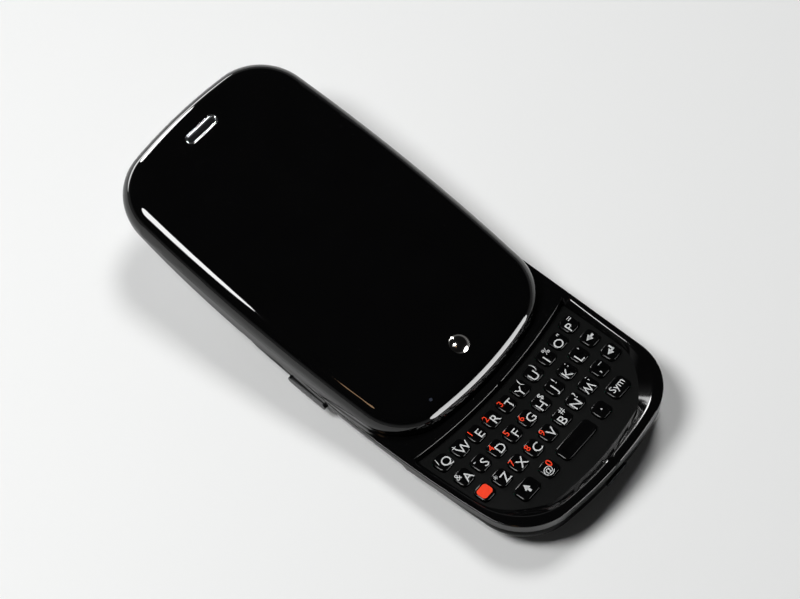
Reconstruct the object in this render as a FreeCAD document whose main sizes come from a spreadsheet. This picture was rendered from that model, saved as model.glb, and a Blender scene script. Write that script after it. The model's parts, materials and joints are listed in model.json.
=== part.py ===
import FreeCAD, Part
import math
import os
import re
import Sketcher

# Slider phone, open. The flat back rests on z = 0, +X is the phone's right, +Y its top end,
# +Z the side that the keys and the screen face. The display half rides on an arc: the top of
# the base is a shallow cradle round an axis across the phone, high above it, and the display
# half turns about that axis. It is drawn closed, on the base, and then turned to the open stop.

Vector = FreeCAD.Vector
doc = FreeCAD.newDocument("slider_phone")
sheet = doc.addObject("Spreadsheet::Sheet", "Sizes")

SIZES = {
    # outline of both halves, seen from the front
    "phone_width": 59.5,
    "phone_length": 100.5,
    "phone_thickness": 16.95,
    "side_round": 550.0,
    "top_round": 135.0,
    "bottom_round": 97.0,
    "corner_round": 15.0,
    # slide
    "arc_radius": 260.0,
    "arc_height": 8.0,
    "slide_travel": 37.4,
    "slide_gap": 0.3,
    "fit_gap": 0.05,
    # base
    "back_round": 7.4,
    "cover_split": 3.8,
    "cover_wall": 1.2,
    "chassis_wall": 2.6,
    "deck_thickness": 1.6,
    "rib_width": 1.6,
    "deck_start": 12.0,
    "tub_end": 18.5,
    "boss_height": 3.0,
    # keypad
    "keypad_middle": 29.5,
    "keypad_depth": 1.6,
    "keypad_rim": 2.65,
    "keypad_top": 14.0,
    "keypad_bottom": 16.2,
    "keypad_corner": 14.0,
    "keypad_smile": 140.0,
    "bevel_side": 1.4,
    "bevel_bottom": 2.9,
    "bevel_top": 0.15,
    "bevel_height": 2.39,
    "bevel_corner": 13.0,
    "web_thickness": 0.9,
    "key_pitch": 5.2,
    "row_pitch": 6.25,
    "first_row": 9.95,
    "row_smile": 147.0,
    "key_width": 4.25,
    "key_height": 4.35,
    "key_corner": 1.35,
    "key_rise": 0.62,
    "key_skirt": 0.45,
    "key_edge": 0.5,
    "key_gap": 0.12,
    "wide_key": 6.0,
    "space_key": 11.6,
    "inner_key_place": 9.7,
    "outer_key_place": 16.8,
    "dome_radius": 1.5,
    "dome_rise": 0.1,
    "board_thickness": 0.8,
    # display half
    "front_round": 5.0,
    "front_wall": 1.5,
    "shell_thickness": 1.4,
    "plate_thickness": 0.5,
    "plate_border": 2.2,
    "mirror_start": 13.0,
    "panel_rim": 6.25,
    "panel_clear": 3.0,
    "panel_thickness": 2.4,
    "button_place": 39.7,
    "button_radius": 2.5,
    "button_rise": 0.35,
    "button_flange": 3.2,
    "earpiece_place": 41.9,
    "earpiece_length": 10.0,
    "earpiece_width": 2.9,
    "earpiece_depth": 0.9,
    "earpiece_rim": 0.45,
    # rails and runners
    "rail_inset": 8.75,
    "rail_end_inset": 5.25,
    "rail_width": 3.5,
    "rail_depth": 1.6,
    "rail_lip": 0.5,
    "rail_wall": 0.4,
    "rail_start": 8.5,
    "runner_stem": 0.9,
    "runner_gap": 0.12,
    "runner_clear": 0.3,
    "runner_head": 0.5,
    "bay_wall": 0.75,
    "bay_start": 9.0,
    "bay_end": 40.0,
    "bay_depth": 1.0,
    "flex_width": 10.0,
    "flex_thickness": 0.15,
    "flex_slot": 1.6,
    "flex_bend_place": 24.0,
    "flex_tail": 2.5,
    "flex_return": 12.0,
    "spring_wire": 0.5,
    "spring_run": 14.0,
    "spring_turn": 1.6,
    "spring_clear": 1.1,
    "spring_middle": 17.0,
    # battery and board
    "battery_width": 37.0,
    "battery_length": 40.0,
    "battery_thickness": 4.6,
    "battery_place": 14.0,
    "battery_round": 2.0,
    "board_edge": 3.7,
    "board_height": 2.6,
    "board_end": 12.0,
    "board_clear": 0.7,
    "can_width": 16.0,
    "can_length": 12.5,
    "can_thickness": 1.1,
    "can_place_x": 9.5,
    "can_first": 21.0,
    "can_pitch": 15.5,
    "speaker_width": 14.6,
    "speaker_length": 6.0,
    "speaker_thickness": 2.2,
    "speaker_place_x": 11.0,
    "speaker_clear": 4.5,
    "motor_radius": 2.2,
    "motor_length": 8.0,
    "motor_place_x": 9.2,
    "motor_place_y": 44.2,
    "motor_level": 4.4,
    "camera_size": 6.0,
    "camera_thickness": 4.0,
    # back of the phone
    "window_length": 15.0,
    "window_width": 7.4,
    "window_place_x": 9.0,
    "window_clear": 3.6,
    "window_recess": 0.15,
    "window_thickness": 0.9,
    "flash_radius": 1.7,
    "grille_slot_width": 1.0,
    "grille_slot_length": 7.0,
    "grille_slot_pitch": 2.2,
    # edge controls
    "rocker_length": 12.0,
    "rocker_height": 2.0,
    "rocker_place": 18.5,
    "rocker_level": 5.3,
    "rocker_proud": 0.55,
    "power_length": 8.0,
    "power_place": 13.0,
    "ringer_length": 3.6,
    "ringer_travel": 1.5,
    "ringer_place": 3.5,
    "top_control_level": 7.6,
    "top_control_height": 2.2,
    "top_control_proud": 0.5,
    "control_depth": 2.0,
    "control_gap": 0.15,
    "release_length": 7.4,
    "release_height": 2.2,
    "release_level": 7.0,
    "release_proud": 0.35,
    "door_length": 10.5,
    "door_height": 2.4,
    "door_place": 24.0,
    "door_level": 5.5,
    "door_strap": 0.5,
    "door_thickness": 0.7,
    "port_length": 7.6,
    "port_height": 2.3,
    "port_depth": 5.0,
    "port_inset": 1.65,
    "port_wall": 0.25,
    "jack_radius": 1.75,
    "jack_length": 14.0,
    "jack_sleeve": 2.2,
    "jack_inset": 1.1,
    "jack_end": 0.8,
    "jack_place": 13.0,
    "jack_level": 6.1,
    # screws
    "screw_radius": 0.7,
    "screw_head": 1.4,
    "screw_head_height": 0.6,
    "screw_length": 2.6,
    "screw_socket": 0.5,
    "boss_radius": 3.0,
    "screw_inset": 9.45,
    "screw_end_inset": 8.05,
}

for row, (alias, value) in enumerate(SIZES.items(), start=1):
    sheet.set("A%d" % row, alias)
    sheet.set("B%d" % row, str(value))
    sheet.setAlias("B%d" % row, alias)
doc.recompute()


def bound(formula):
    """A formula over the sheet's names, as the document reads it."""
    return re.sub(r"[a-z]+(_[a-z]+)+", lambda word: "Sizes." + word.group(0), formula)


def measure(formula):
    """The value of such a formula."""
    result = sheet.evalExpression(bound(formula))
    return float(getattr(result, "Value", result))


# Places that follow from the sizes
ARC_CENTRE = measure("arc_height + arc_radius")
OPEN_ANGLE = measure("slide_travel / arc_radius * 180 / pi")
KEYPAD_TILT = measure("asin(keypad_middle / arc_radius)")
FAR = "phone_length"
SHELL_ARC = "arc_radius - slide_gap"
KEYPAD_SIDE = "phone_width / 2 - keypad_rim"
RAIL_PLACE = "phone_width / 2 - rail_inset"
RAIL_END = "phone_length / 2 - rail_end_inset"
BAY_HALF = RAIL_PLACE + " - rail_width / 2 - bay_wall"
PORT_FACE = "phone_width / 2 - port_inset"
BATTERY_END = "battery_place + battery_length / 2"
WINDOW_Y = BATTERY_END + " + window_clear"
SPEAKER_Y = BATTERY_END + " + speaker_clear"

ORIGIN = (-1, 1)
CROSS_AXIS = -1
LONG_AXIS = -2
START = 1
END = 2
CENTRE = 3


def deck_height(y, below="0"):
    """Height of the cradle, or of the surface some way below it, at a place along the phone."""
    return ARC_CENTRE - math.sqrt(measure("arc_radius + " + below) ** 2 - y ** 2)


def lifted(height):
    return FreeCAD.Placement(Vector(0, 0, measure(height)), FreeCAD.Rotation())


def moved(x="0", y="0", z="0"):
    return FreeCAD.Placement(Vector(measure(x), measure(y), measure(z)), FreeCAD.Rotation())


def rail_side(way):
    """Offset of a lengthwise sketch to the rail on one side."""
    return moved("0", "0", "%d * (%s)" % (way, RAIL_PLACE))


def keypad_frame():
    """Frame of the tilted keypad: its origin on the cradle, its Z square to it."""
    turn = FreeCAD.Rotation(Vector(1, 0, 0), -KEYPAD_TILT)
    middle = measure("keypad_middle")
    return FreeCAD.Placement(Vector(0, -middle, deck_height(middle)), turn)


def keypad_side_frame():
    """The same frame, for sketches on the lengthwise plane."""
    origin = keypad_frame().Base
    return FreeCAD.Placement(Vector(origin.y, origin.z, 0), FreeCAD.Rotation(Vector(0, 0, 1), -KEYPAD_TILT))


def open_placement():
    """Turn about the slide axis that takes the closed display half to its open stop."""
    turn = FreeCAD.Rotation(Vector(1, 0, 0), OPEN_ANGLE)
    return FreeCAD.Placement(Vector(0, 0, 0), turn, Vector(0, 0, ARC_CENTRE))


def new_body(label):
    body = doc.addObject("PartDesign::Body", label)
    body.Label = label
    return body


def new_sketch(body, name, plane="XY_Plane", offset=None):
    """A sketch on one of the body's own origin planes, moved or tilted by an offset."""
    sketch = body.newObject("Sketcher::SketchObject", body.Name + "_" + name)
    support = [feature for feature in body.Origin.OriginFeatures if feature.Role == plane][0]
    sketch.AttachmentSupport = [(support, "")]
    sketch.MapMode = "FlatFace"
    if offset is not None:
        sketch.AttachmentOffset = offset
    return sketch


def bind(sketch, kind, places, formula):
    """A dimension of a sketch, tied to the sheet by its formula."""
    index = sketch.addConstraint(Sketcher.Constraint(kind, *places, measure(formula)))
    sketch.setExpression("Constraints[%d]" % index, bound(formula))


def join(sketch, kind, *places):
    sketch.addConstraint(Sketcher.Constraint(kind, *places))


def add_arc(sketch, centre, radius, start, end):
    """An arc, counter-clockwise from one point to another, given its centre."""
    first = math.atan2(start[1] - centre[1], start[0] - centre[0])
    last = math.atan2(end[1] - centre[1], end[0] - centre[0])
    if last < first:
        last += 2 * math.pi
    circle = Part.Circle(Vector(centre[0], centre[1], 0), Vector(0, 0, 1), radius)
    return sketch.addGeometry(Part.ArcOfCircle(circle, first, last))


def add_line(sketch, start, end):
    return sketch.addGeometry(Part.LineSegment(Vector(start[0], start[1], 0), Vector(end[0], end[1], 0)))


def circles_meet(first, first_radius, second, second_radius):
    """The right-hand one of the two points where two circles cross."""
    gap_x = second[0] - first[0]
    gap_y = second[1] - first[1]
    gap = math.hypot(gap_x, gap_y)
    along = (first_radius ** 2 - second_radius ** 2 + gap ** 2) / (2 * gap)
    across = math.sqrt(first_radius ** 2 - along ** 2)
    middle = (first[0] + along * gap_x / gap, first[1] + along * gap_y / gap)
    return max(
        (middle[0] + way * across * gap_y / gap, middle[1] - way * across * gap_x / gap)
        for way in (1, -1)
    )


def away(centre, other, radius):
    """Point of a circle on the line from another centre through its own, beyond it."""
    span = math.hypot(centre[0] - other[0], centre[1] - other[1])
    return (
        centre[0] + (centre[0] - other[0]) * radius / span,
        centre[1] + (centre[1] - other[1]) * radius / span,
    )


def mirror(point):
    return (-point[0], point[1])


def pebble(body, name, height="0", inset="0"):
    """The phone's outline, drawn in by an inset: bowed sides, bowed ends and round corners."""
    sketch = new_sketch(body, name, offset=lifted(height))
    side = "side_round - (%s)" % inset
    corner = "corner_round - (%s)" % inset
    side_reach = "side_round - phone_width / 2"
    side_centre = (-measure(side_reach), 0.0)
    side_radius = measure(side)
    corner_radius = measure(corner)
    ends = []
    for way, end_round in ((1, "top_round"), (-1, "bottom_round")):
        radius = "%s - (%s)" % (end_round, inset)
        reach = end_round + " - phone_length / 2"
        end_centre = (0.0, -way * measure(reach))
        centre = circles_meet(
            side_centre, side_radius - corner_radius, end_centre, measure(radius) - corner_radius
        )
        on_side = away(centre, side_centre, corner_radius)
        on_end = away(centre, end_centre, corner_radius)
        ends.append((radius, reach, end_centre, centre, on_side, on_end))
    top_radius, top_reach, top_centre, high_corner, high_side, high_end = ends[0]
    low_radius, low_reach, bottom_centre, low_corner, low_side, low_end = ends[1]
    right = add_arc(sketch, side_centre, side_radius, low_side, high_side)
    high_right = add_arc(sketch, high_corner, corner_radius, high_side, high_end)
    top = add_arc(sketch, top_centre, measure(top_radius), high_end, mirror(high_end))
    high_left = add_arc(sketch, mirror(high_corner), corner_radius, mirror(high_end), mirror(high_side))
    left = add_arc(sketch, mirror(side_centre), side_radius, mirror(high_side), mirror(low_side))
    low_left = add_arc(sketch, mirror(low_corner), corner_radius, mirror(low_side), mirror(low_end))
    bottom = add_arc(sketch, bottom_centre, measure(low_radius), mirror(low_end), low_end)
    low_right = add_arc(sketch, low_corner, corner_radius, low_end, low_side)
    chain = [right, high_right, top, high_left, left, low_left, bottom, low_right]
    for arc, following in zip(chain, chain[1:] + chain[:1]):
        join(sketch, "Tangent", arc, END, following, START)
    for arc, radius in ((right, side), (left, side), (top, top_radius), (bottom, low_radius)):
        bind(sketch, "Radius", (arc,), radius)
    for arc in (high_right, high_left, low_left, low_right):
        bind(sketch, "Radius", (arc,), corner)
    for arc in (right, left):
        join(sketch, "PointOnObject", arc, CENTRE, CROSS_AXIS)
    for arc in (top, bottom):
        join(sketch, "PointOnObject", arc, CENTRE, LONG_AXIS)
    bind(sketch, "DistanceX", (right, CENTRE, *ORIGIN), side_reach)
    bind(sketch, "DistanceX", (*ORIGIN, left, CENTRE), side_reach)
    bind(sketch, "DistanceY", (top, CENTRE, *ORIGIN), top_reach)
    bind(sketch, "DistanceY", (*ORIGIN, bottom, CENTRE), low_reach)
    return sketch


def keypad_outline(body, name, height, outward, top, bottom, corner):
    """The keypad's outline in its tilted frame: the phone's sides and chin, and a smiling top edge."""
    frame = keypad_frame().multiply(lifted(height))
    sketch = new_sketch(body, name, offset=frame)
    side_reach = "side_round - phone_width / 2"
    side = side_reach + " + " + outward
    chin_reach = "bottom_round - phone_length / 2 + keypad_middle"
    chin = chin_reach + " + " + bottom
    smile_reach = "keypad_smile + " + top
    side_centre = (-measure(side_reach), measure("keypad_middle"))
    chin_centre = (0.0, measure(chin_reach))
    smile_centre = (0.0, measure(smile_reach))
    radius = measure(corner)
    corner_centre = circles_meet(side_centre, measure(side) - radius, chin_centre, measure(chin) - radius)
    low_side = away(corner_centre, side_centre, radius)
    low_end = away(corner_centre, chin_centre, radius)
    across = low_side[0]
    high_side = (across, smile_centre[1] - math.sqrt(measure("keypad_smile") ** 2 - across ** 2))
    right = add_arc(sketch, side_centre, measure(side), low_side, high_side)
    smile = add_arc(sketch, smile_centre, measure("keypad_smile"), mirror(high_side), high_side)
    left = add_arc(sketch, mirror(side_centre), measure(side), mirror(high_side), mirror(low_side))
    low_left = add_arc(sketch, mirror(corner_centre), radius, mirror(low_side), mirror(low_end))
    bottom_arc = add_arc(sketch, chin_centre, measure(chin), mirror(low_end), low_end)
    low_right = add_arc(sketch, corner_centre, radius, low_end, low_side)
    chain = [left, low_left, bottom_arc, low_right, right]
    for arc, following in zip(chain, chain[1:]):
        join(sketch, "Tangent", arc, END, following, START)
    join(sketch, "Coincident", right, END, smile, END)
    join(sketch, "Coincident", left, START, smile, START)
    for arc, formula in ((right, side), (left, side), (bottom_arc, chin), (smile, "keypad_smile")):
        bind(sketch, "Radius", (arc,), formula)
    for arc in (low_left, low_right):
        bind(sketch, "Radius", (arc,), corner)
    for arc in (bottom_arc, smile):
        join(sketch, "PointOnObject", arc, CENTRE, LONG_AXIS)
    bind(sketch, "DistanceY", (*ORIGIN, bottom_arc, CENTRE), chin_reach)
    bind(sketch, "DistanceY", (*ORIGIN, smile, CENTRE), smile_reach)
    bind(sketch, "DistanceX", (right, CENTRE, *ORIGIN), side_reach)
    bind(sketch, "DistanceX", (*ORIGIN, left, CENTRE), side_reach)
    for arc in (right, left):
        bind(sketch, "DistanceY", (*ORIGIN, arc, CENTRE), "keypad_middle")
    return sketch


def rounded_loop(sketch, width, height, corner):
    """A rectangle with round corners, centred on the sketch's own origin."""
    radius = measure(corner)
    half_width = measure(width) / 2
    half_height = measure(height) / 2
    lines = []
    arcs = []
    for cosine, sine in ((1, 0), (0, 1), (-1, 0), (0, -1)):
        reach, span = (half_width, half_height) if sine == 0 else (half_height, half_width)

        def place(along, across, cosine=cosine, sine=sine):
            return (along * cosine - across * sine, along * sine + across * cosine)

        lines.append(add_line(sketch, place(reach, radius - span), place(reach, span - radius)))
        centre = place(reach - radius, span - radius)
        arcs.append(add_arc(sketch, centre, radius, place(reach, span - radius), place(reach - radius, span)))
    for turn, (line, arc) in enumerate(zip(lines, arcs)):
        join(sketch, "Tangent", line, END, arc, START)
        join(sketch, "Tangent", arc, END, lines[(turn + 1) % 4], START)
        bind(sketch, "Radius", (arc,), corner)
    join(sketch, "Vertical", lines[0])
    join(sketch, "Horizontal", lines[1])
    join(sketch, "Symmetric", arcs[0], CENTRE, arcs[2], CENTRE, *ORIGIN)
    bind(sketch, "DistanceX", (lines[2], START, lines[0], START), width)
    bind(sketch, "DistanceY", (lines[3], START, lines[1], START), height)


def rounded_rectangle(body, name, width, height, corner, offset=None, plane="XY_Plane"):
    sketch = new_sketch(body, name, plane, offset)
    rounded_loop(sketch, width, height, corner)
    return sketch


def circle(body, name, radius, offset=None, plane="XY_Plane"):
    sketch = new_sketch(body, name, plane, offset)
    ring = sketch.addGeometry(Part.Circle(Vector(0, 0, 0), Vector(0, 0, 1), measure(radius)))
    join(sketch, "Coincident", ring, CENTRE, *ORIGIN)
    bind(sketch, "Radius", (ring,), radius)
    return sketch


def side_box(body, name, low_y, high_y, low_z, high_z, frame=None):
    """A box seen from the side, between places along the phone and heights."""
    sketch = new_sketch(body, name, "YZ_Plane", frame)
    y_low, y_high, z_low, z_high = (measure(formula) for formula in (low_y, high_y, low_z, high_z))
    corners = [(y_low, z_low), (y_high, z_low), (y_high, z_high), (y_low, z_high)]
    lines = [add_line(sketch, corners[turn], corners[(turn + 1) % 4]) for turn in range(4)]
    for turn in range(4):
        join(sketch, "Coincident", lines[turn], END, lines[(turn + 1) % 4], START)
        join(sketch, "Horizontal" if turn % 2 == 0 else "Vertical", lines[turn])
    place_point(sketch, lines[0], START, low_y, low_z)
    place_point(sketch, lines[2], START, high_y, high_z)
    return sketch


def place_point(sketch, element, end, x, y):
    """Tie a point to a place; a place on an axis is tied to the axis."""
    for kind, formula, axis in (("DistanceX", x, LONG_AXIS), ("DistanceY", y, CROSS_AXIS)):
        value = measure(formula)
        if abs(value) < 1e-9:
            join(sketch, "PointOnObject", element, end, axis)
        elif value > 0:
            bind(sketch, kind, (*ORIGIN, element, end), formula)
        else:
            bind(sketch, kind, (element, end, *ORIGIN), "-1 * (" + formula + ")")


def arc_region(body, name, radius, low_y, high_y, flat):
    """Side view of what lies between an arc about the slide axis and a level line."""
    sketch = new_sketch(body, name, "YZ_Plane")
    centre = (0.0, ARC_CENTRE)
    span = measure(radius)
    y_low, y_high, level = measure(low_y), measure(high_y), measure(flat)
    low_point = (y_low, ARC_CENTRE - math.sqrt(span ** 2 - y_low ** 2))
    high_point = (y_high, ARC_CENTRE - math.sqrt(span ** 2 - y_high ** 2))
    arc = add_arc(sketch, centre, span, low_point, high_point)
    high_line = add_line(sketch, high_point, (y_high, level))
    flat_line = add_line(sketch, (y_high, level), (y_low, level))
    low_line = add_line(sketch, (y_low, level), low_point)
    join(sketch, "Coincident", arc, END, high_line, START)
    join(sketch, "Coincident", high_line, END, flat_line, START)
    join(sketch, "Coincident", flat_line, END, low_line, START)
    join(sketch, "Coincident", low_line, END, arc, START)
    join(sketch, "Vertical", high_line)
    join(sketch, "Horizontal", flat_line)
    join(sketch, "Vertical", low_line)
    place_point(sketch, arc, CENTRE, "0", "arc_height + arc_radius")
    bind(sketch, "Radius", (arc,), radius)
    place_point(sketch, flat_line, END, low_y, flat)
    bind(sketch, "DistanceX", (flat_line, END, flat_line, START), high_y + " - (" + low_y + ")")
    return sketch


def arc_band(body, name, inner, outer, low_y, high_y, offset=None):
    """Side view of a strip between two arcs about the slide axis."""
    sketch = new_sketch(body, name, "YZ_Plane", offset)
    centre = (0.0, ARC_CENTRE)
    points = {}
    for key, radius in (("inner", inner), ("outer", outer)):
        span = measure(radius)
        points[key] = [
            (measure(y), ARC_CENTRE - math.sqrt(span ** 2 - measure(y) ** 2)) for y in (low_y, high_y)
        ]
    upper = add_arc(sketch, centre, measure(inner), *points["inner"])
    lower = add_arc(sketch, centre, measure(outer), *points["outer"])
    low_line = add_line(sketch, points["inner"][0], points["outer"][0])
    high_line = add_line(sketch, points["inner"][1], points["outer"][1])
    join(sketch, "Coincident", upper, START, low_line, START)
    join(sketch, "Coincident", lower, START, low_line, END)
    join(sketch, "Coincident", upper, END, high_line, START)
    join(sketch, "Coincident", lower, END, high_line, END)
    join(sketch, "Vertical", low_line)
    join(sketch, "Vertical", high_line)
    join(sketch, "Coincident", upper, CENTRE, lower, CENTRE)
    place_point(sketch, upper, CENTRE, "0", "arc_height + arc_radius")
    bind(sketch, "Radius", (upper,), inner)
    bind(sketch, "Radius", (lower,), outer)
    for element, formula in ((low_line, low_y), (high_line, high_y)):
        value = measure(formula)
        if value > 0:
            bind(sketch, "DistanceX", (*ORIGIN, element, START), formula)
        else:
            bind(sketch, "DistanceX", (element, START, *ORIGIN), "-1 * (" + formula + ")")
    return sketch


def pad(body, sketch, length, way=1, symmetric=False):
    feature = body.newObject("PartDesign::Pad", sketch.Name + "_pad")
    feature.Profile = sketch
    feature.setExpression("Length", bound(length))
    feature.Reversed = way < 0
    if symmetric:
        feature.SideType = "Symmetric"
    sketch.Visibility = False
    doc.recompute()
    return feature


def pocket(body, sketch, length, way=-1, symmetric=False):
    """A cut along the sketch's normal (way 1) or against it (way -1). It has to take something away."""
    before = body.Shape.Volume
    feature = body.newObject("PartDesign::Pocket", sketch.Name + "_pocket")
    feature.Profile = sketch
    feature.setExpression("Length", bound(length))
    feature.Reversed = way > 0
    if symmetric:
        feature.SideType = "Symmetric"
    sketch.Visibility = False
    doc.recompute()
    if not body.Shape.Volume < before:
        raise ValueError(feature.Name + " cuts nothing")
    return feature


def fillet(body, base, edges, radius):
    feature = body.newObject("PartDesign::Fillet", base.Name + "_fillet")
    feature.Base = (base, edges)
    feature.setExpression("Radius", bound(radius))
    doc.recompute()
    return feature


def edges_where(feature, test):
    """Names of the edges whose middle and ends all pass a test."""
    names = []
    for index, edge in enumerate(feature.Shape.Edges, start=1):
        first, last = edge.ParameterRange
        points = [edge.valueAt(first + (last - first) * part) for part in (0.0, 0.5, 1.0)]
        if all(test(point) for point in points):
            names.append("Edge%d" % index)
    return names


def at_height(height):
    level = measure(height)
    return lambda point: abs(point.z - level) < 1e-4


def cut_shape(label, base, tool, placement=None):
    feature = doc.addObject("Part::Cut", label)
    feature.Base = base
    feature.Tool = tool
    feature.Label = label
    if placement is not None:
        feature.Placement = placement
    doc.recompute()
    return feature


def group(label, members, placement=None):
    feature = doc.addObject("Part::Compound", label)
    feature.Links = members
    feature.Label = label
    if placement is not None:
        feature.Placement = placement
    doc.recompute()
    return feature


def plain_part(label, shape, placement=None):
    feature = doc.addObject("Part::Feature", label)
    feature.Label = label
    feature.Shape = shape
    if placement is not None:
        feature.Placement = placement
    return feature


pieces = []


def keep(piece):
    """Hand a finished piece to the assembly."""
    pieces.append(piece)
    return piece


# The base: one pebble with a round back, cut into back cover, chassis and deck
BLANK_TOP = "phone_thickness"


def base_blank(body):
    """The whole base before it is cut up: the outline with a quarter-round back edge."""
    solid = pad(body, pebble(body, "outline"), BLANK_TOP)
    fillet(body, solid, edges_where(solid, at_height("0")), "back_round")


def level_cut(body, name, height, way):
    """Cut off everything above (way 1) or below (way -1) a level."""
    sketch = rounded_rectangle(
        body, name, FAR + " * 2", FAR + " * 2", "corner_round", offset=lifted(height)
    )
    pocket(body, sketch, FAR, way)


def make_back_cover():
    cavity = new_body("cover_cavity")
    hollow = pad(cavity, pebble(cavity, "inside", "cover_wall", "cover_wall"), BLANK_TOP)
    fillet(cavity, hollow, edges_where(hollow, at_height("cover_wall")), "back_round - cover_wall")
    shell = new_body("cover_shell")
    base_blank(shell)
    level_cut(shell, "split", "cover_split", 1)
    window = rounded_rectangle(
        shell, "window", "window_length + 2 * fit_gap", "window_width + 2 * fit_gap",
        "window_width / 2", offset=moved("-1 * window_place_x", WINDOW_Y),
    )
    pocket(shell, window, "cover_split", 1)
    for index in (-1, 0, 1):
        slot = rounded_rectangle(
            shell, "grille_%d" % (index + 2), "grille_slot_length", "grille_slot_width",
            "grille_slot_width * 0.49",
            offset=moved("speaker_place_x", SPEAKER_Y + " + %d * grille_slot_pitch" % index),
        )
        pocket(shell, slot, "cover_split", 1)
    keep(cut_shape("back_cover", shell, cavity))


def make_camera_window():
    pane = new_body("window_pane")
    outline = rounded_rectangle(
        pane, "outline", "window_length", "window_width", "window_width / 2 - fit_gap",
        offset=moved("-1 * window_place_x", WINDOW_Y, "window_recess"),
    )
    pad(pane, outline, "window_thickness")
    seat = circle(
        pane, "seat", "flash_radius + fit_gap",
        offset=moved("-1 * window_place_x - window_width / 2", WINDOW_Y, "window_recess"),
    )
    pocket(pane, seat, "window_thickness", 1)
    flash = new_body("flash_lens")
    disc = circle(
        flash, "outline", "flash_radius",
        offset=moved("-1 * window_place_x - window_width / 2", WINDOW_Y, "window_recess"),
    )
    pad(flash, disc, "window_thickness")
    keep(group("camera_window", [pane, flash]))


def boss_places(height="0"):
    """Where the four screws stand, at a height."""
    return [
        moved(
            "%d * (phone_width / 2 - screw_inset)" % way_x,
            "%d * (phone_length / 2 - screw_end_inset)" % way_y, height,
        )
        for way_x in (-1, 1)
        for way_y in (-1, 1)
    ]


# Controls round the edge of the base, and the way each one faces
EDGE_PLANES = {
    "left": ("YZ_Plane", -1),
    "right": ("YZ_Plane", 1),
    "top": ("XZ_Plane", -1),
    "bottom": ("XZ_Plane", 1),
}


def edge_opening(body, name, side, place, level, length, height):
    """A round-ended opening through the chassis wall on one side."""
    plane, way = EDGE_PLANES[side]
    start = "phone_width / 2" if plane == "YZ_Plane" else "phone_length / 2"
    offset = moved(place, level, "%d * (%s - 2 * chassis_wall)" % (way, start))
    outline = rounded_rectangle(
        body, name + "_opening", length + " + 2 * control_gap", height + " + 2 * control_gap",
        height + " * 0.49", plane=plane, offset=offset,
    )
    pocket(body, outline, "4 * chassis_wall", way)


def make_chassis():
    body = new_body("base_chassis")
    base_blank(body)
    pocket(body, pebble(body, "inside", "0", "chassis_wall"), BLANK_TOP, 1)
    rib = side_box(
        body, "rib", "-1 * board_end + fit_gap", "-1 * board_end + rib_width", "cover_split", BLANK_TOP
    )
    pad(body, rib, "phone_width - chassis_wall", symmetric=True)
    for index, place in enumerate(boss_places("cover_split")):
        pad(body, circle(body, "boss_%d" % index, "boss_radius", place), "boss_height")
    level_cut(body, "split", "cover_split", -1)
    deck = arc_region(
        body, "deck", "arc_radius + deck_thickness", "-1 * " + FAR, FAR, "2 * " + BLANK_TOP
    )
    pocket(body, deck, "2 * " + FAR, symmetric=True)
    tub = side_box(
        body, "tub", "-1 * " + FAR, "tub_end",
        "-1 * keypad_depth - web_thickness", BLANK_TOP, keypad_side_frame(),
    )
    pocket(body, tub, "2 * " + FAR, symmetric=True)
    for index, place in enumerate(boss_places("cover_split")):
        hole = circle(body, "screw_hole_%d" % index, "screw_radius + fit_gap", place)
        pocket(body, hole, "screw_length", 1)
    edge_opening(body, "rocker", "left", "rocker_place", "rocker_level", "rocker_length", "rocker_height")
    edge_opening(
        body, "door", "right", "door_place - door_strap / 2", "door_level", "door_length + door_strap",
        "door_height",
    )
    edge_opening(
        body, "power", "top", "power_place", "top_control_level", "power_length", "top_control_height"
    )
    edge_opening(
        body, "ringer", "top", "ringer_place", "top_control_level",
        "ringer_length + ringer_travel", "top_control_height",
    )
    edge_opening(body, "release", "bottom", "0", "release_level", "release_length", "release_height")
    jack = circle(
        body, "jack_opening", "jack_sleeve + fit_gap", plane="XZ_Plane",
        offset=moved("-1 * jack_place", "jack_level", "-1 * (phone_length / 2 - 2 * chassis_wall)"),
    )
    pocket(body, jack, "4 * chassis_wall", -1)
    keep(body)


def edge_control(label, side, place, level, length, height, proud, depth):
    """A button or cap in the chassis wall: the outline let out by proud and in by depth, cut to shape."""
    plane, way = EDGE_PLANES[side]
    body = new_body(label)
    pad(body, pebble(body, "outside", level + " - " + height + " / 2", "-1 * " + proud), height)
    pocket(body, pebble(body, "inside", "0", depth), FAR, 1)
    sketch = new_sketch(body, "shape", plane, moved(place, level))
    rounded_loop(sketch, length, height, height + " * 0.48")
    rounded_loop(sketch, "3 * " + FAR, "3 * " + FAR, height)
    pocket(body, sketch, "2 * " + FAR, symmetric=True)
    if plane == "YZ_Plane":
        half = new_sketch(body, "half", "XY_Plane", moved("%d * -1 * %s" % (way, FAR)))
    else:
        half = new_sketch(body, "half", "XY_Plane", moved("0", "%d * %s" % (way, FAR)))
    rounded_loop(half, "2 * " + FAR, "2 * " + FAR, height)
    pocket(body, half, "2 * " + FAR, symmetric=True)
    return keep(body)


def make_edge_controls():
    edge_control(
        "volume_rocker", "left", "rocker_place", "rocker_level", "rocker_length", "rocker_height",
        "rocker_proud", "control_depth",
    )
    edge_control(
        "power_button", "top", "power_place", "top_control_level", "power_length",
        "top_control_height", "top_control_proud", "control_depth",
    )
    edge_control(
        "ringer_switch", "top", "ringer_place - ringer_travel / 2", "top_control_level",
        "ringer_length", "top_control_height", "top_control_proud", "control_depth",
    )
    edge_control(
        "cover_release", "bottom", "0", "release_level", "release_length", "release_height",
        "release_proud", "control_depth",
    )
    edge_control(
        "usb_door", "right", "door_place", "door_level", "door_length", "door_height",
        "fit_gap", "door_thickness",
    )


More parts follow.
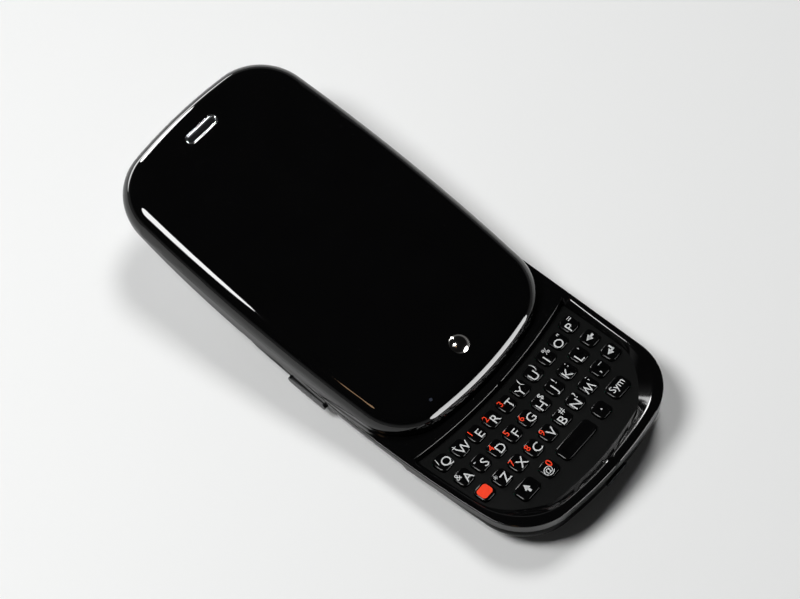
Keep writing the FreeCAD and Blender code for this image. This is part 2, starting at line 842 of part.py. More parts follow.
def make_deck():
    """The glossy top of the base, with the keypad's recess and its bevelled chin."""
    body = new_body("keyboard_bezel")
    base_blank(body)
    pocket(
        body, arc_region(body, "cradle", "arc_radius", "-1 * " + FAR, FAR, "2 * " + BLANK_TOP),
        "2 * " + FAR, symmetric=True,
    )
    under = side_box(
        body, "tub", "-1 * " + FAR, "2 * " + FAR,
        "-2 * " + FAR, "-1 * keypad_depth - web_thickness", keypad_side_frame(),
    )
    pocket(body, under, "2 * " + FAR, symmetric=True)
    plate = arc_region(
        body, "deck", "arc_radius + deck_thickness", "-1 * deck_start", FAR, "-1 * " + FAR
    )
    pocket(body, plate, "2 * " + FAR, symmetric=True)
    opening = keypad_outline(
        body, "opening", "-1 * keypad_depth - web_thickness * 2", KEYPAD_SIDE, "keypad_top",
        "keypad_bottom", "keypad_corner",
    )
    pocket(body, opening, "web_thickness * 3", 1)
    low = keypad_outline(
        body, "bevel_low", "-1 * keypad_depth", KEYPAD_SIDE, "keypad_top", "keypad_bottom",
        "keypad_corner",
    )
    high = keypad_outline(
        body, "bevel_high", "-1 * keypad_depth + bevel_height", KEYPAD_SIDE + " + bevel_side",
        "keypad_top + bevel_top", "keypad_bottom + bevel_bottom", "bevel_corner",
    )
    before = body.Shape.Volume
    bevel = body.newObject("PartDesign::SubtractiveLoft", "keypad_bevel")
    bevel.Profile = low
    bevel.Sections = [high]
    bevel.Ruled = True
    doc.recompute()
    if not body.Shape.Volume < before:
        raise ValueError("the bevel cuts nothing")
    for way in (-1, 1):
        slot = arc_band(
            body, "rail_slot_%d" % (way + 2),
            "arc_radius - deck_thickness", "arc_radius + 2 * deck_thickness",
            "-1 * rail_start - fit_gap", RAIL_END + " + fit_gap", rail_side(way),
        )
        pocket(body, slot, "rail_width + 2 * fit_gap", symmetric=True)
    bay = arc_band(
        body, "bay", "arc_radius - deck_thickness", "arc_radius + bay_depth", "-1 * bay_start", "bay_end"
    )
    pocket(body, bay, "2 * (" + BAY_HALF + ")", symmetric=True)
    slot = arc_band(
        body, "flex_slot", "arc_radius - deck_thickness", "arc_radius + 2 * deck_thickness",
        "-1 * bay_start", "-1 * bay_start + flex_slot",
    )
    pocket(body, slot, "flex_width + 4 * fit_gap", symmetric=True)
    keep(body)
    return body


# The keypad: keys in a web, over the board with their domes
KEYS = (
    ["q", "w", "e", "r", "t", "y", "u", "i", "o", "p"],
    ["a", "s", "d", "f", "g", "h", "j", "k", "l", "backspace"],
    ["option", "z", "x", "c", "v", "b", "n", "m", "comma", "enter"],
)
BOTTOM_KEYS = (
    ("shift", "-1 * outer_key_place", "wide_key"),
    ("zero", "-1 * inner_key_place", "key_width"),
    ("space", "0", "space_key"),
    ("period", "inner_key_place", "key_width"),
    ("sym", "outer_key_place", "wide_key"),
)


def key_table():
    """Every key: its name, its place in the keypad's frame and its width."""
    table = []
    for row, names in enumerate(KEYS):
        for column, name in enumerate(names):
            place = "(%.1f) * key_pitch" % (column - (len(names) - 1) / 2)
            table.append((name, place, row, "key_width"))
    table += [(name, place, len(KEYS), width) for name, place, width in BOTTOM_KEYS]
    return [
        (name, measure(place), key_row(measure(place), row), width) for name, place, row, width in table
    ]


def key_row(x, row):
    """Rows curve like a smile: their ends stand nearer the screen."""
    return measure("first_row - %d * row_pitch" % row) + x ** 2 / (2 * measure("row_smile"))


def on_keypad(x, y, height):
    frame = keypad_frame()
    return frame.multiply(FreeCAD.Placement(Vector(x, y, measure(height)), FreeCAD.Rotation()))


def make_keys():
    for name, x, y, width in key_table():
        body = new_body("key_" + name)
        outline = rounded_rectangle(
            body, "outline", width, "key_height", "key_corner", offset=lifted("-1 * key_skirt")
        )
        solid = pad(body, outline, "key_skirt + key_rise")
        fillet(body, solid, edges_where(solid, at_height("key_rise")), "key_edge")
        body.Placement = on_keypad(x, y, "-1 * keypad_depth")
        keep(body)


def make_web():
    """The matt plate between the keys, with a hole for each."""
    plate = new_body("web_plate")
    outline = keypad_outline(
        plate, "outline", "-1 * keypad_depth - web_thickness", KEYPAD_SIDE + " - fit_gap",
        "keypad_top - fit_gap", "keypad_bottom - fit_gap", "keypad_corner",
    )
    pad(plate, outline, "web_thickness")
    holes = []
    for name, x, y, width in key_table():
        long = measure(width + " + 2 * key_gap")
        high = measure("key_height + 2 * key_gap")
        deep = measure("3 * web_thickness")
        box = Part.makeBox(long, high, deep, Vector(-long / 2, -high / 2, -deep / 2))
        upright = [edge for edge in box.Edges if abs(edge.tangentAt(edge.FirstParameter).z) > 0.5]
        hole = box.makeFillet(measure("key_corner + key_gap"), upright)
        hole.Placement = on_keypad(x, y, "-1 * keypad_depth - web_thickness / 2")
        holes.append(hole)
    keep(cut_shape("keypad_web", plate, plain_part("key_holes", Part.makeCompound(holes))))


def make_dome_board():
    """The board under the web, with a low contact dome under each key."""
    board = new_body("dome_board_plate")
    outline = keypad_outline(
        board, "outline", "-1 * keypad_depth - web_thickness - board_thickness",
        KEYPAD_SIDE + " - board_thickness", "keypad_top - board_thickness",
        "keypad_bottom - board_thickness", "keypad_corner",
    )
    pad(board, outline, "board_thickness")
    domes = []
    for name, x, y, width in key_table():
        dome = Part.makeCylinder(measure("dome_radius"), measure("2 * dome_rise"))
        dome.Placement = on_keypad(x, y, "-1 * keypad_depth - web_thickness - dome_rise")
        domes.append(dome)
    fused = doc.addObject("Part::Fuse", "dome_board")
    fused.Base = board
    fused.Tool = plain_part("contact_domes", Part.makeCompound(domes))
    fused.Label = "dome_board"
    doc.recompute()
    keep(fused)


# The display half, drawn closed and turned open
def slider_blank(body):
    solid = pad(body, pebble(body, "outline"), "phone_thickness")
    fillet(body, solid, edges_where(solid, at_height("phone_thickness")), "front_round")
    under = arc_region(body, "under", SHELL_ARC, "-1 * " + FAR, FAR, "-1 * " + FAR)
    pocket(body, under, "2 * " + FAR, symmetric=True)


def make_slider_shell():
    recess = new_body("shell_recess")
    pad(recess, pebble(recess, "outline", "0", "plate_border"), "phone_thickness")
    above = arc_region(
        recess, "above", SHELL_ARC + " - plate_thickness", "-1 * " + FAR, FAR, "2 * phone_thickness"
    )
    pocket(recess, above, "2 * " + FAR, symmetric=True)
    shell = new_body("shell_blank")
    slider_blank(shell)
    above = arc_region(
        shell, "above", SHELL_ARC + " - shell_thickness", "-1 * " + FAR, FAR, "2 * phone_thickness"
    )
    pocket(shell, above, "2 * " + FAR, symmetric=True)
    keep(cut_shape("slider_shell", shell, recess, open_placement()))


def underside_plate(body):
    """The thin layer that fills the recess under the display half."""
    pad(body, pebble(body, "outline", "0", "plate_border + fit_gap"), "phone_thickness")
    above = arc_region(
        body, "above", SHELL_ARC + " - plate_thickness + fit_gap", "-1 * " + FAR, FAR, "2 * phone_thickness"
    )
    pocket(body, above, "2 * " + FAR, symmetric=True)
    under = arc_region(body, "under", SHELL_ARC, "-1 * " + FAR, FAR, "-1 * " + FAR)
    pocket(body, under, "2 * " + FAR, symmetric=True)


def make_mirror_panel():
    body = new_body("mirror_panel")
    underside_plate(body)
    lower = side_box(
        body, "lower", "-1 * " + FAR, "mirror_start", "-1 * phone_thickness", "2 * phone_thickness"
    )
    pocket(body, lower, "2 * " + FAR, symmetric=True)
    body.Placement = open_placement()
    keep(body)


def make_slide_plate():
    """The steel plate on the display half, with a T-shaped runner for each rail."""
    body = new_body("slide_plate")
    underside_plate(body)
    upper = side_box(
        body, "upper", "mirror_start - fit_gap", FAR, "-1 * phone_thickness", "2 * phone_thickness"
    )
    pocket(body, upper, "2 * " + FAR, symmetric=True)
    low_end = "-1 * rail_start + runner_clear"
    high_end = RAIL_END + " - slide_travel - runner_clear"
    head_top = "arc_radius + rail_lip + runner_gap"
    for way in (-1, 1):
        side = rail_side(way)
        stem = arc_band(
            body, "stem_%d" % (way + 2), SHELL_ARC + " - plate_thickness / 2", head_top,
            low_end, high_end, side,
        )
        pad(body, stem, "runner_stem", symmetric=True)
        head = arc_band(
            body, "head_%d" % (way + 2), head_top, head_top + " + runner_head", low_end, high_end, side
        )
        pad(body, head, "rail_width - 2 * rail_wall - 2 * runner_gap", symmetric=True)
    body.Placement = open_placement()
    keep(body)


def make_front_lens():
    """The one-piece glossy front: it wraps round the sides, over a hollow for the screen."""
    cavity = new_body("lens_cavity")
    hollow = pad(cavity, pebble(cavity, "outline", "0", "front_wall"), "phone_thickness - front_wall")
    fillet(
        cavity, hollow, edges_where(hollow, at_height("phone_thickness - front_wall")),
        "front_round - front_wall",
    )
    lens = new_body("lens_shell")
    slider_blank(lens)
    seam = arc_region(
        lens, "seam", SHELL_ARC + " - shell_thickness", "-1 * " + FAR, FAR, "-1 * " + FAR
    )
    pocket(lens, seam, "2 * " + FAR, symmetric=True)
    hole = circle(
        lens, "button_hole", "button_radius + key_gap", moved("0", "-1 * button_place", "phone_thickness")
    )
    pocket(lens, hole, "2 * front_wall", -1)
    slot = rounded_rectangle(
        lens, "earpiece_slot", "earpiece_length", "earpiece_width", "earpiece_width * 0.49",
        offset=moved("0", "earpiece_place", "phone_thickness"),
    )
    pocket(lens, slot, "2 * front_wall", -1)
    keep(cut_shape("front_lens", lens, cavity, open_placement()))


def make_display_panel():
    body = new_body("display_panel")
    low_end = "button_flange + panel_clear - button_place"
    high_end = "earpiece_place - earpiece_width / 2 - panel_clear"
    outline = rounded_rectangle(
        body, "outline", "phone_width - 2 * panel_rim", "%s - (%s)" % (high_end, low_end), "web_thickness",
        offset=moved(
            "0", "(%s + %s) / 2" % (high_end, low_end),
            "phone_thickness - front_wall - fit_gap - panel_thickness",
        ),
    )
    pad(body, outline, "panel_thickness")
    body.Placement = open_placement()
    keep(body)


def make_earpiece():
    """The earpiece's bright rim with a slotted grille at its foot."""
    body = new_body("earpiece_grille")
    outline = rounded_rectangle(
        body, "outline", "earpiece_length - 2 * fit_gap", "earpiece_width - 2 * fit_gap",
        "earpiece_width * 0.49 - fit_gap",
        offset=moved("0", "earpiece_place", "phone_thickness - front_wall"),
    )
    pad(body, outline, "front_wall - 2 * fit_gap")
    inside = rounded_rectangle(
        body, "inside", "earpiece_length - 2 * earpiece_rim", "earpiece_width - 2 * earpiece_rim",
        "earpiece_width * 0.49 - earpiece_rim",
        offset=moved("0", "earpiece_place", "phone_thickness - fit_gap"),
    )
    pocket(body, inside, "earpiece_depth", -1)
    for index in (-1, 0, 1):
        slot = rounded_rectangle(
            body, "slot_%d" % (index + 2), "earpiece_length - 4 * earpiece_rim", "earpiece_rim / 2",
            "earpiece_rim * 0.24",
            offset=moved("0", "earpiece_place + %d * earpiece_rim" % index, "phone_thickness"),
        )
        pocket(body, slot, "2 * front_wall", -1)
    body.Placement = open_placement()
    keep(body)


def make_centre_button():
    """The round button under the screen: a flange below the front, and a domed top above it."""
    body = new_body("centre_button")
    place = moved("0", "-1 * button_place", "phone_thickness - front_wall - fit_gap")
    pad(body, circle(body, "flange", "button_flange", place), "front_wall / 3", way=-1)
    stem = pad(body, circle(body, "stem", "button_radius", place), "front_wall + fit_gap + button_rise")
    rim = edges_where(stem, at_height("phone_thickness + button_rise"))
    fillet(body, stem, rim, "button_rise * 0.9")
    body.Placement = open_placement()
    keep(body)


# What joins the halves
def make_rails():
    """Two steel channels let into the deck. The runners' heads slide inside them."""
    rails = []
    for way, name in ((1, "rail_right"), (-1, "rail_left")):
        body = new_body(name)
        side = rail_side(way)
        low_end, high_end = "-1 * rail_start", RAIL_END
        solid = arc_band(body, "channel", "arc_radius", "arc_radius + rail_depth", low_end, high_end, side)
        pad(body, solid, "rail_width", symmetric=True)
        inside = arc_band(
            body, "inside", "arc_radius + rail_lip", "arc_radius + rail_lip + runner_head + 2 * runner_gap",
            low_end + " - rail_width", high_end + " + rail_width", side,
        )
        pocket(body, inside, "rail_width - 2 * rail_wall", symmetric=True)
        mouth = arc_band(
            body, "mouth", "arc_radius - rail_lip", "arc_radius + rail_lip + runner_gap",
            low_end + " - rail_width", high_end + " + rail_width", side,
        )
        pocket(body, mouth, "runner_stem + 2 * runner_gap", symmetric=True)
        rails.append(body)
    keep(group("slide_rails", rails))


def make_display_flex():
    """The flat cable that folds in the bay between the halves and drops to the board."""
    body = new_body("display_flex")
    top = "arc_radius + runner_gap"
    foot = "arc_radius + bay_depth - fit_gap"
    back_end = "-1 * bay_start + runner_clear"
    legs = (
        ("lower_leg", foot + " - flex_thickness", foot, back_end, "flex_bend_place"),
        ("fold", top, foot, "flex_bend_place - flex_thickness", "flex_bend_place"),
        ("upper_leg", top, top + " + flex_thickness", "flex_bend_place - flex_return", "flex_bend_place"),
    )
    for name, inner, outer, low_y, high_y in legs:
        pad(body, arc_band(body, name, inner, outer, low_y, high_y), "flex_width", symmetric=True)
    board_top = "board_height + board_thickness + fit_gap"
    drop = side_box(
        body, "drop", back_end, back_end + " + flex_thickness", board_top,
        "arc_height - bay_depth + 2 * flex_thickness",
    )
    pad(body, drop, "flex_width", symmetric=True)
    landing = side_box(
        body, "landing", "-1 * board_end - flex_tail", back_end, board_top, board_top + " + flex_thickness"
    )
    pad(body, landing, "flex_width", symmetric=True)
    keep(body)


def make_slide_springs():
    """A flat serpentine of spring wire on each side of the bay."""
    middle = measure("spring_middle")
    tilt = math.degrees(math.asin(middle / measure("arc_radius")))
    frame = FreeCAD.Placement(
        Vector(0, middle, deck_height(middle, "bay_depth / 2")), FreeCAD.Rotation(Vector(1, 0, 0), tilt)
    )
    run = measure("spring_run") / 2
    turn = measure("spring_turn")
    springs = []
    for way in (-1, 1):
        rows = [way * (measure(BAY_HALF + " - spring_clear") - 2 * turn * index) for index in range(3)]
        edges = []
        for index, x in enumerate(rows):
            rise = 1 if index % 2 == 0 else -1
            edges.append(Part.LineSegment(Vector(x, -rise * run, 0), Vector(x, rise * run, 0)).toShape())
            if index + 1 < len(rows):
                over = Vector((x + rows[index + 1]) / 2, rise * (run + turn), 0)
                far = Vector(rows[index + 1], rise * run, 0)
                edges.append(Part.Arc(Vector(x, rise * run, 0), over, far).toShape())
        start = Vector(rows[0], -run, 0)
        ring = Part.Wire(Part.makeCircle(measure("spring_wire / 2"), start, Vector(0, 1, 0)))
        springs.append(Part.Wire(edges).makePipeShell([ring], True, False))
    keep(plain_part("slide_springs", Part.makeCompound(springs), frame))


# What the base holds
def make_battery():
    body = new_body("battery")
    outline = rounded_rectangle(
        body, "outline", "battery_width", "battery_length", "battery_round",
        offset=moved("0", "battery_place", "cover_wall + 2 * fit_gap"),
    )
    pad(body, outline, "battery_thickness")
    keep(body)


def block(label, x, y, z, length, width, height):
    """A box, centred on x and y and standing on z."""
    box = doc.addObject("Part::Box", label)
    for prop, formula in (
        ("Length", length), ("Width", width), ("Height", height),
        ("Placement.Base.x", "(%s) - (%s) / 2" % (x, length)),
        ("Placement.Base.y", "(%s) - (%s) / 2" % (y, width)),
        ("Placement.Base.z", z),
    ):
        box.setExpression(prop, bound(formula))
    return box


def make_main_board():
    board = new_body("circuit_board")
    pad(board, pebble(board, "outline", "board_height", "board_edge"), "board_thickness")
    for index, place in enumerate(boss_places("board_height")):
        pocket(
            board, circle(board, "screw_room_%d" % index, "boss_radius", place),
            "2 * board_thickness", 1,
        )
    room = new_sketch(
        board, "battery_room", "XY_Plane",
        moved("battery_width / 2 + board_clear - " + FAR, FAR + " - board_end", "board_height"),
    )
    rounded_loop(room, "2 * " + FAR, "2 * " + FAR, "board_thickness")
    pocket(board, room, "2 * board_thickness", 1)
    members = [board]
    for way in (-1, 1):
        for row in (0, 1):
            members.append(block(
                "shield_can_%d" % len(members), "%d * can_place_x" % way,
                "-1 * can_first - %d * can_pitch" % row, "board_height - can_thickness",
                "can_width", "can_length", "can_thickness",
            ))
    members.append(block(
        "camera_module", "-1 * window_place_x + camera_size / 2", WINDOW_Y,
        "window_recess + window_thickness + fit_gap", "camera_size", "camera_size", "camera_thickness",
    ))
    members.append(block(
        "loudspeaker", "speaker_place_x", SPEAKER_Y, "cover_wall + 2 * fit_gap",
        "speaker_width", "speaker_length", "speaker_thickness",
    ))
    motor = doc.addObject("Part::Cylinder", "vibration_motor")
    motor.setExpression("Radius", bound("motor_radius"))
    motor.setExpression("Height", bound("motor_length"))
    motor.Placement = FreeCAD.Placement(
        Vector(measure("-1 * motor_place_x"), measure("motor_place_y"), measure("motor_level")),
        FreeCAD.Rotation(Vector(0, 1, 0), 90),
    )
    members.append(motor)
    port = new_body("usb_port")
    shell = rounded_rectangle(
        port, "outline", "port_length", "port_height", "port_height / 4", plane="YZ_Plane",
        offset=moved("door_place", "door_level", PORT_FACE + " - port_depth"),
    )
    pad(port, shell, "port_depth")
    inside = rounded_rectangle(
        port, "inside", "port_length - 2 * port_wall", "port_height - 2 * port_wall",
        "port_height / 4 - port_wall", plane="YZ_Plane",
        offset=moved("door_place", "door_level", PORT_FACE),
    )
    pocket(port, inside, "port_depth - port_wall", -1)
    members.append(port)
    members.append(block(
        "port_riser", PORT_FACE + " - port_depth * 0.7", "door_place", "board_height + board_thickness",
        "port_depth / 2", "port_length", "door_level - port_height / 2 - board_height - board_thickness",
    ))
    keep(group("main_board", members))


def make_headphone_socket():
    body = new_body("headphone_socket")
    mouth = "-1 * (phone_length / 2 - jack_inset)"
    place = moved("-1 * jack_place", "jack_level", mouth)
    pad(body, circle(body, "sleeve", "jack_sleeve", place, "XZ_Plane"), "jack_length + jack_end")
    pocket(body, circle(body, "bore", "jack_radius", place, "XZ_Plane"), "jack_length", 1)
    keep(body)


def make_screws():
    """Four screws that hold the chassis to the deck, each with a socket in its head."""
    screws = []
    for index, place in enumerate(boss_places("cover_split")):
        body = new_body("screw_%d" % (index + 1))
        shank_place = lifted("0")
        pad(body, circle(body, "head", "screw_head", shank_place), "screw_head_height", way=-1)
        pad(body, circle(body, "shank", "screw_radius", shank_place), "screw_length - fit_gap")
        socket = circle(body, "socket", "screw_socket", lifted("-1 * screw_head_height"))
        pocket(body, socket, "screw_head_height * 0.7", 1)
        body.Placement = place
        screws.append(body)
    keep(group("screws", screws))


make_front_lens()
make_display_panel()
make_slider_shell()
make_mirror_panel()
make_slide_plate()
make_earpiece()
make_centre_button()
make_display_flex()
make_slide_springs()
make_rails()
make_deck()
make_web()
make_keys()
make_dome_board()
make_chassis()
make_edge_controls()
make_headphone_socket()
make_back_cover()
make_camera_window()
make_battery()
make_main_board()
make_screws()
doc.recompute()

for item in doc.Objects:
    if "Invalid" in item.State or "Error" in item.State:
        raise ValueError(item.Label + " has failed: " + str(item.State))
for piece in pieces:
    if piece.Shape.isNull() or not piece.Shape.isValid():
        raise ValueError(piece.Label + " has no valid shape")

os.makedirs("parts", exist_ok=True)
for piece in pieces:
    piece.Shape.exportStep(os.path.join("parts", piece.Label + ".step"))
    print("%-18s %2d solids %9.2f mm3" % (piece.Label, len(piece.Shape.Solids), piece.Shape.Volume))
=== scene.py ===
# %% [markdown]
# # A slider phone, dressed for its photograph
# The phone lies open on a white table. Its display half has slid up over the base on a shallow
# arc, and the small keypad shows below it. Nearly everything is polished black plastic, so the
# looks depend on smooth curved surfaces and on what they reflect.
#
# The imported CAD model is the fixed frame. Where its flat facets would show in a polished surface,
# a smoother piece is modelled here and stands for the CAD node. The rest keep their CAD shape
# and only get a finish.

# %% Load the frame
import json
import math

import bmesh
import bpy
from mathutils import Matrix, Vector
from mathutils.bvhtree import BVHTree


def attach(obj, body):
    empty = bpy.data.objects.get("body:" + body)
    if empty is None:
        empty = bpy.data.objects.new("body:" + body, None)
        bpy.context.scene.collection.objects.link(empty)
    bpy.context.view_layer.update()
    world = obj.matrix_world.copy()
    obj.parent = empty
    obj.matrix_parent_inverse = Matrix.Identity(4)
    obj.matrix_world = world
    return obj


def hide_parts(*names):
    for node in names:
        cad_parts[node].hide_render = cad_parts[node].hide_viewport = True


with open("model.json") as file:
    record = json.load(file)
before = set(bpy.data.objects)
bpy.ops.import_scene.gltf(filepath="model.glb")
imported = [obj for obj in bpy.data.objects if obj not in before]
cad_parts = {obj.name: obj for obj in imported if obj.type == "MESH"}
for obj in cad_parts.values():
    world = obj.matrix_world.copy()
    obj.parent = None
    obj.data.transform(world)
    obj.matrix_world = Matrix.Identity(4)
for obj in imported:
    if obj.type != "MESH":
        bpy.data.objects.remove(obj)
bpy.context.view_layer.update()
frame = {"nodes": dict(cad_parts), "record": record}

MM = 0.001
nodes = frame["nodes"]

# %% [markdown]
# ## Camera
# The camera was fitted to the photograph's outlines, its key rows and its round button. It stands
# half a metre away at the phone's lower left and looks down steeply, with a long lens.

# %% Camera
camera_lens = bpy.data.cameras.new("camera")
camera_lens.sensor_width = 36.0
camera_lens.lens = 98.1618
camera_lens.clip_start = 0.01
camera = bpy.data.objects.new("camera", camera_lens)
camera.location = (-0.18082, -0.14824, 0.46841)
camera.rotation_euler = [math.radians(turn) for turn in (28.1629, 0.8719, -49.5663)]
bpy.context.scene.collection.objects.link(camera)
bpy.context.scene.camera = camera
print("camera", round(camera.location.length, 3), "m from the origin")

# %% [markdown]
# ## Light
# Polished black shows lamps and little else. The photograph has a bright line down the display's
# left edge, and the screen itself reflects a dark ceiling. So there is one soft box overhead to
# the left and a softer one at the right that only fills the shadows, over a white table in a room
# that is pale only near the horizon. Together they give a level at which a colour renders about
# as it is written.

# %% Lamps
def soft_box(name, place, aim, width, height, power, tint=(1.0, 1.0, 1.0)):
    """An oval lamp that faces the point it is aimed at."""
    lamp = bpy.data.lights.new(name, "AREA")
    lamp.shape = "ELLIPSE"
    lamp.size = width
    lamp.size_y = height
    lamp.energy = power
    lamp.color = tint
    holder = bpy.data.objects.new(name, lamp)
    holder.location = place
    holder.rotation_euler = (Vector(aim) - Vector(place)).to_track_quat("-Z", "Y").to_euler()
    bpy.context.scene.collection.objects.link(holder)
    return holder


overhead = soft_box("overhead_lamp", (-0.27, 0.22, 0.62), (0.0, 0.03, 0.0), 0.21, 0.30, 3.5)
fill = soft_box("fill_lamp", (0.55, 0.30, 1.10), (0.0, 0.0, 0.0), 0.40, 0.40, 6.6)
fill.visible_glossy = False
print("2 lamps,", round(overhead.data.energy + fill.data.energy, 1), "W")

# %% [markdown]
# The other bright places of the photograph are white walls and cards that hardly light the table,
# so here they are cards that show in gloss only: a tall one in front for the broad band across the
# display's lower end, one behind for the line across its top end, a long low one behind that for
# its outer rim and the right end of the chin, and a small warm one for the brown line at the left.

# %% Cards for the gloss
cards = [
    soft_box("card_in_front", (0.27, -0.94, 0.22), (0.0, 0.0, 0.01), 0.80, 0.50, 13.0),
    soft_box("card_behind", (0.31, 1.13, 0.42), (0.0, 0.08, 0.02), 0.24, 0.34, 6.0),
    soft_box("low_card_behind", (0.10, 1.40, 0.13), (0.0, 0.0, 0.01), 1.30, 0.24, 7.0),
    soft_box("warm_card", (-0.34, -0.01, 0.60), (0.0, 0.0, 0.0), 0.05, 0.09, 0.07, (1.0, 0.62, 0.35)),
]
for card in cards:
    card.visible_diffuse = False
print(len(cards), "cards")

# %% The room: white near the horizon, dark overhead
world = bpy.data.worlds.new("room")
bpy.context.scene.world = world
world.use_nodes = True
room = world.node_tree
room.nodes.clear()
direction = room.nodes.new("ShaderNodeTexCoord")
parts = room.nodes.new("ShaderNodeSeparateXYZ")
height_ramp = room.nodes.new("ShaderNodeValToRGB")
height_ramp.color_ramp.elements[0].position = 0.12
height_ramp.color_ramp.elements[0].color = (0.30, 0.30, 0.30, 1.0)
height_ramp.color_ramp.elements[1].position = 0.34
height_ramp.color_ramp.elements[1].color = (0.012, 0.012, 0.012, 1.0)
room_light = room.nodes.new("ShaderNodeBackground")
room_out = room.nodes.new("ShaderNodeOutputWorld")
room.links.new(direction.outputs["Generated"], parts.inputs[0])
room.links.new(parts.outputs["Z"], height_ramp.inputs["Fac"])
room.links.new(height_ramp.outputs["Color"], room_light.inputs["Color"])
room.links.new(room_light.outputs[0], room_out.inputs["Surface"])
bpy.context.scene.view_settings.view_transform = "Standard"
print("room ready")

# %% [markdown]
# ## Finishes
# Every finish is a Principled shader with small procedural changes: polished plastic has faint
# fingerprints in its roughness, the display's front has a few specks of dust as well, and matt
# plastic has a fine grain.
# The patterns read Object coordinates in metres, so a scale of 90 gives marks of about a centimetre.
# One helper builds them all, because they differ only in colour, roughness and scale.

# %% Finish helper
GRAIN_STRENGTH = 0.5
DUST_COLOUR = (0.25, 0.25, 0.24, 1.0)
DUST_SCALE = 260.0
SPECK_RADIUS = 0.035


def finish(name, colour, rough, metallic=0.0, smudge=0.03, smudge_scale=90.0, grain=0.0,
           grain_scale=6000.0, shade=0.25, dust=0.0, specular=0.5, ior=1.5):
    """A Principled finish whose colour, roughness and surface vary a little."""
    material = bpy.data.materials.new(name)
    material.use_nodes = True
    tree = material.node_tree
    shader = tree.nodes["Principled BSDF"]
    shader.inputs["Metallic"].default_value = metallic
    shader.inputs["Specular IOR Level"].default_value = specular
    shader.inputs["IOR"].default_value = ior
    place = tree.nodes.new("ShaderNodeTexCoord")
    cloud = tree.nodes.new("ShaderNodeTexNoise")
    cloud.inputs["Scale"].default_value = smudge_scale
    cloud.inputs["Detail"].default_value = 4.0
    tree.links.new(place.outputs["Object"], cloud.inputs["Vector"])
    tint = tree.nodes.new("ShaderNodeMix")
    tint.data_type = "RGBA"
    tint.inputs["A"].default_value = [c * (1.0 - shade) for c in colour] + [1.0]
    tint.inputs["B"].default_value = [c * (1.0 + shade) for c in colour] + [1.0]
    tree.links.new(cloud.outputs["Fac"], tint.inputs["Factor"])
    spread = tree.nodes.new("ShaderNodeMapRange")
    spread.inputs["From Min"].default_value = 0.35
    spread.inputs["From Max"].default_value = 0.75
    spread.inputs["To Min"].default_value = rough
    spread.inputs["To Max"].default_value = rough + smudge
    tree.links.new(cloud.outputs["Fac"], spread.inputs["Value"])
    tree.links.new(spread.outputs["Result"], shader.inputs["Roughness"])
    colour_out = tint.outputs["Result"]
    if dust:
        speck = tree.nodes.new("ShaderNodeTexVoronoi")
        speck.inputs["Scale"].default_value = DUST_SCALE
        tree.links.new(place.outputs["Object"], speck.inputs["Vector"])
        near = tree.nodes.new("ShaderNodeMapRange")
        near.inputs["From Min"].default_value = 0.0
        near.inputs["From Max"].default_value = SPECK_RADIUS
        near.inputs["To Min"].default_value = dust
        near.inputs["To Max"].default_value = 0.0
        tree.links.new(speck.outputs["Distance"], near.inputs["Value"])
        dusty = tree.nodes.new("ShaderNodeMix")
        dusty.data_type = "RGBA"
        dusty.inputs["B"].default_value = DUST_COLOUR
        tree.links.new(near.outputs["Result"], dusty.inputs["Factor"])
        tree.links.new(colour_out, dusty.inputs["A"])
        colour_out = dusty.outputs["Result"]
    tree.links.new(colour_out, shader.inputs["Base Color"])
    if grain:
        texture = tree.nodes.new("ShaderNodeTexNoise")
        texture.inputs["Scale"].default_value = grain_scale
        texture.inputs["Detail"].default_value = 2.0
        tree.links.new(place.outputs["Object"], texture.inputs["Vector"])
        bump = tree.nodes.new("ShaderNodeBump")
        bump.inputs["Strength"].default_value = GRAIN_STRENGTH
        bump.inputs["Distance"].default_value = grain * MM
        tree.links.new(texture.outputs["Fac"], bump.inputs["Height"])
        tree.links.new(bump.outputs["Normal"], shader.inputs["Normal"])
    return material


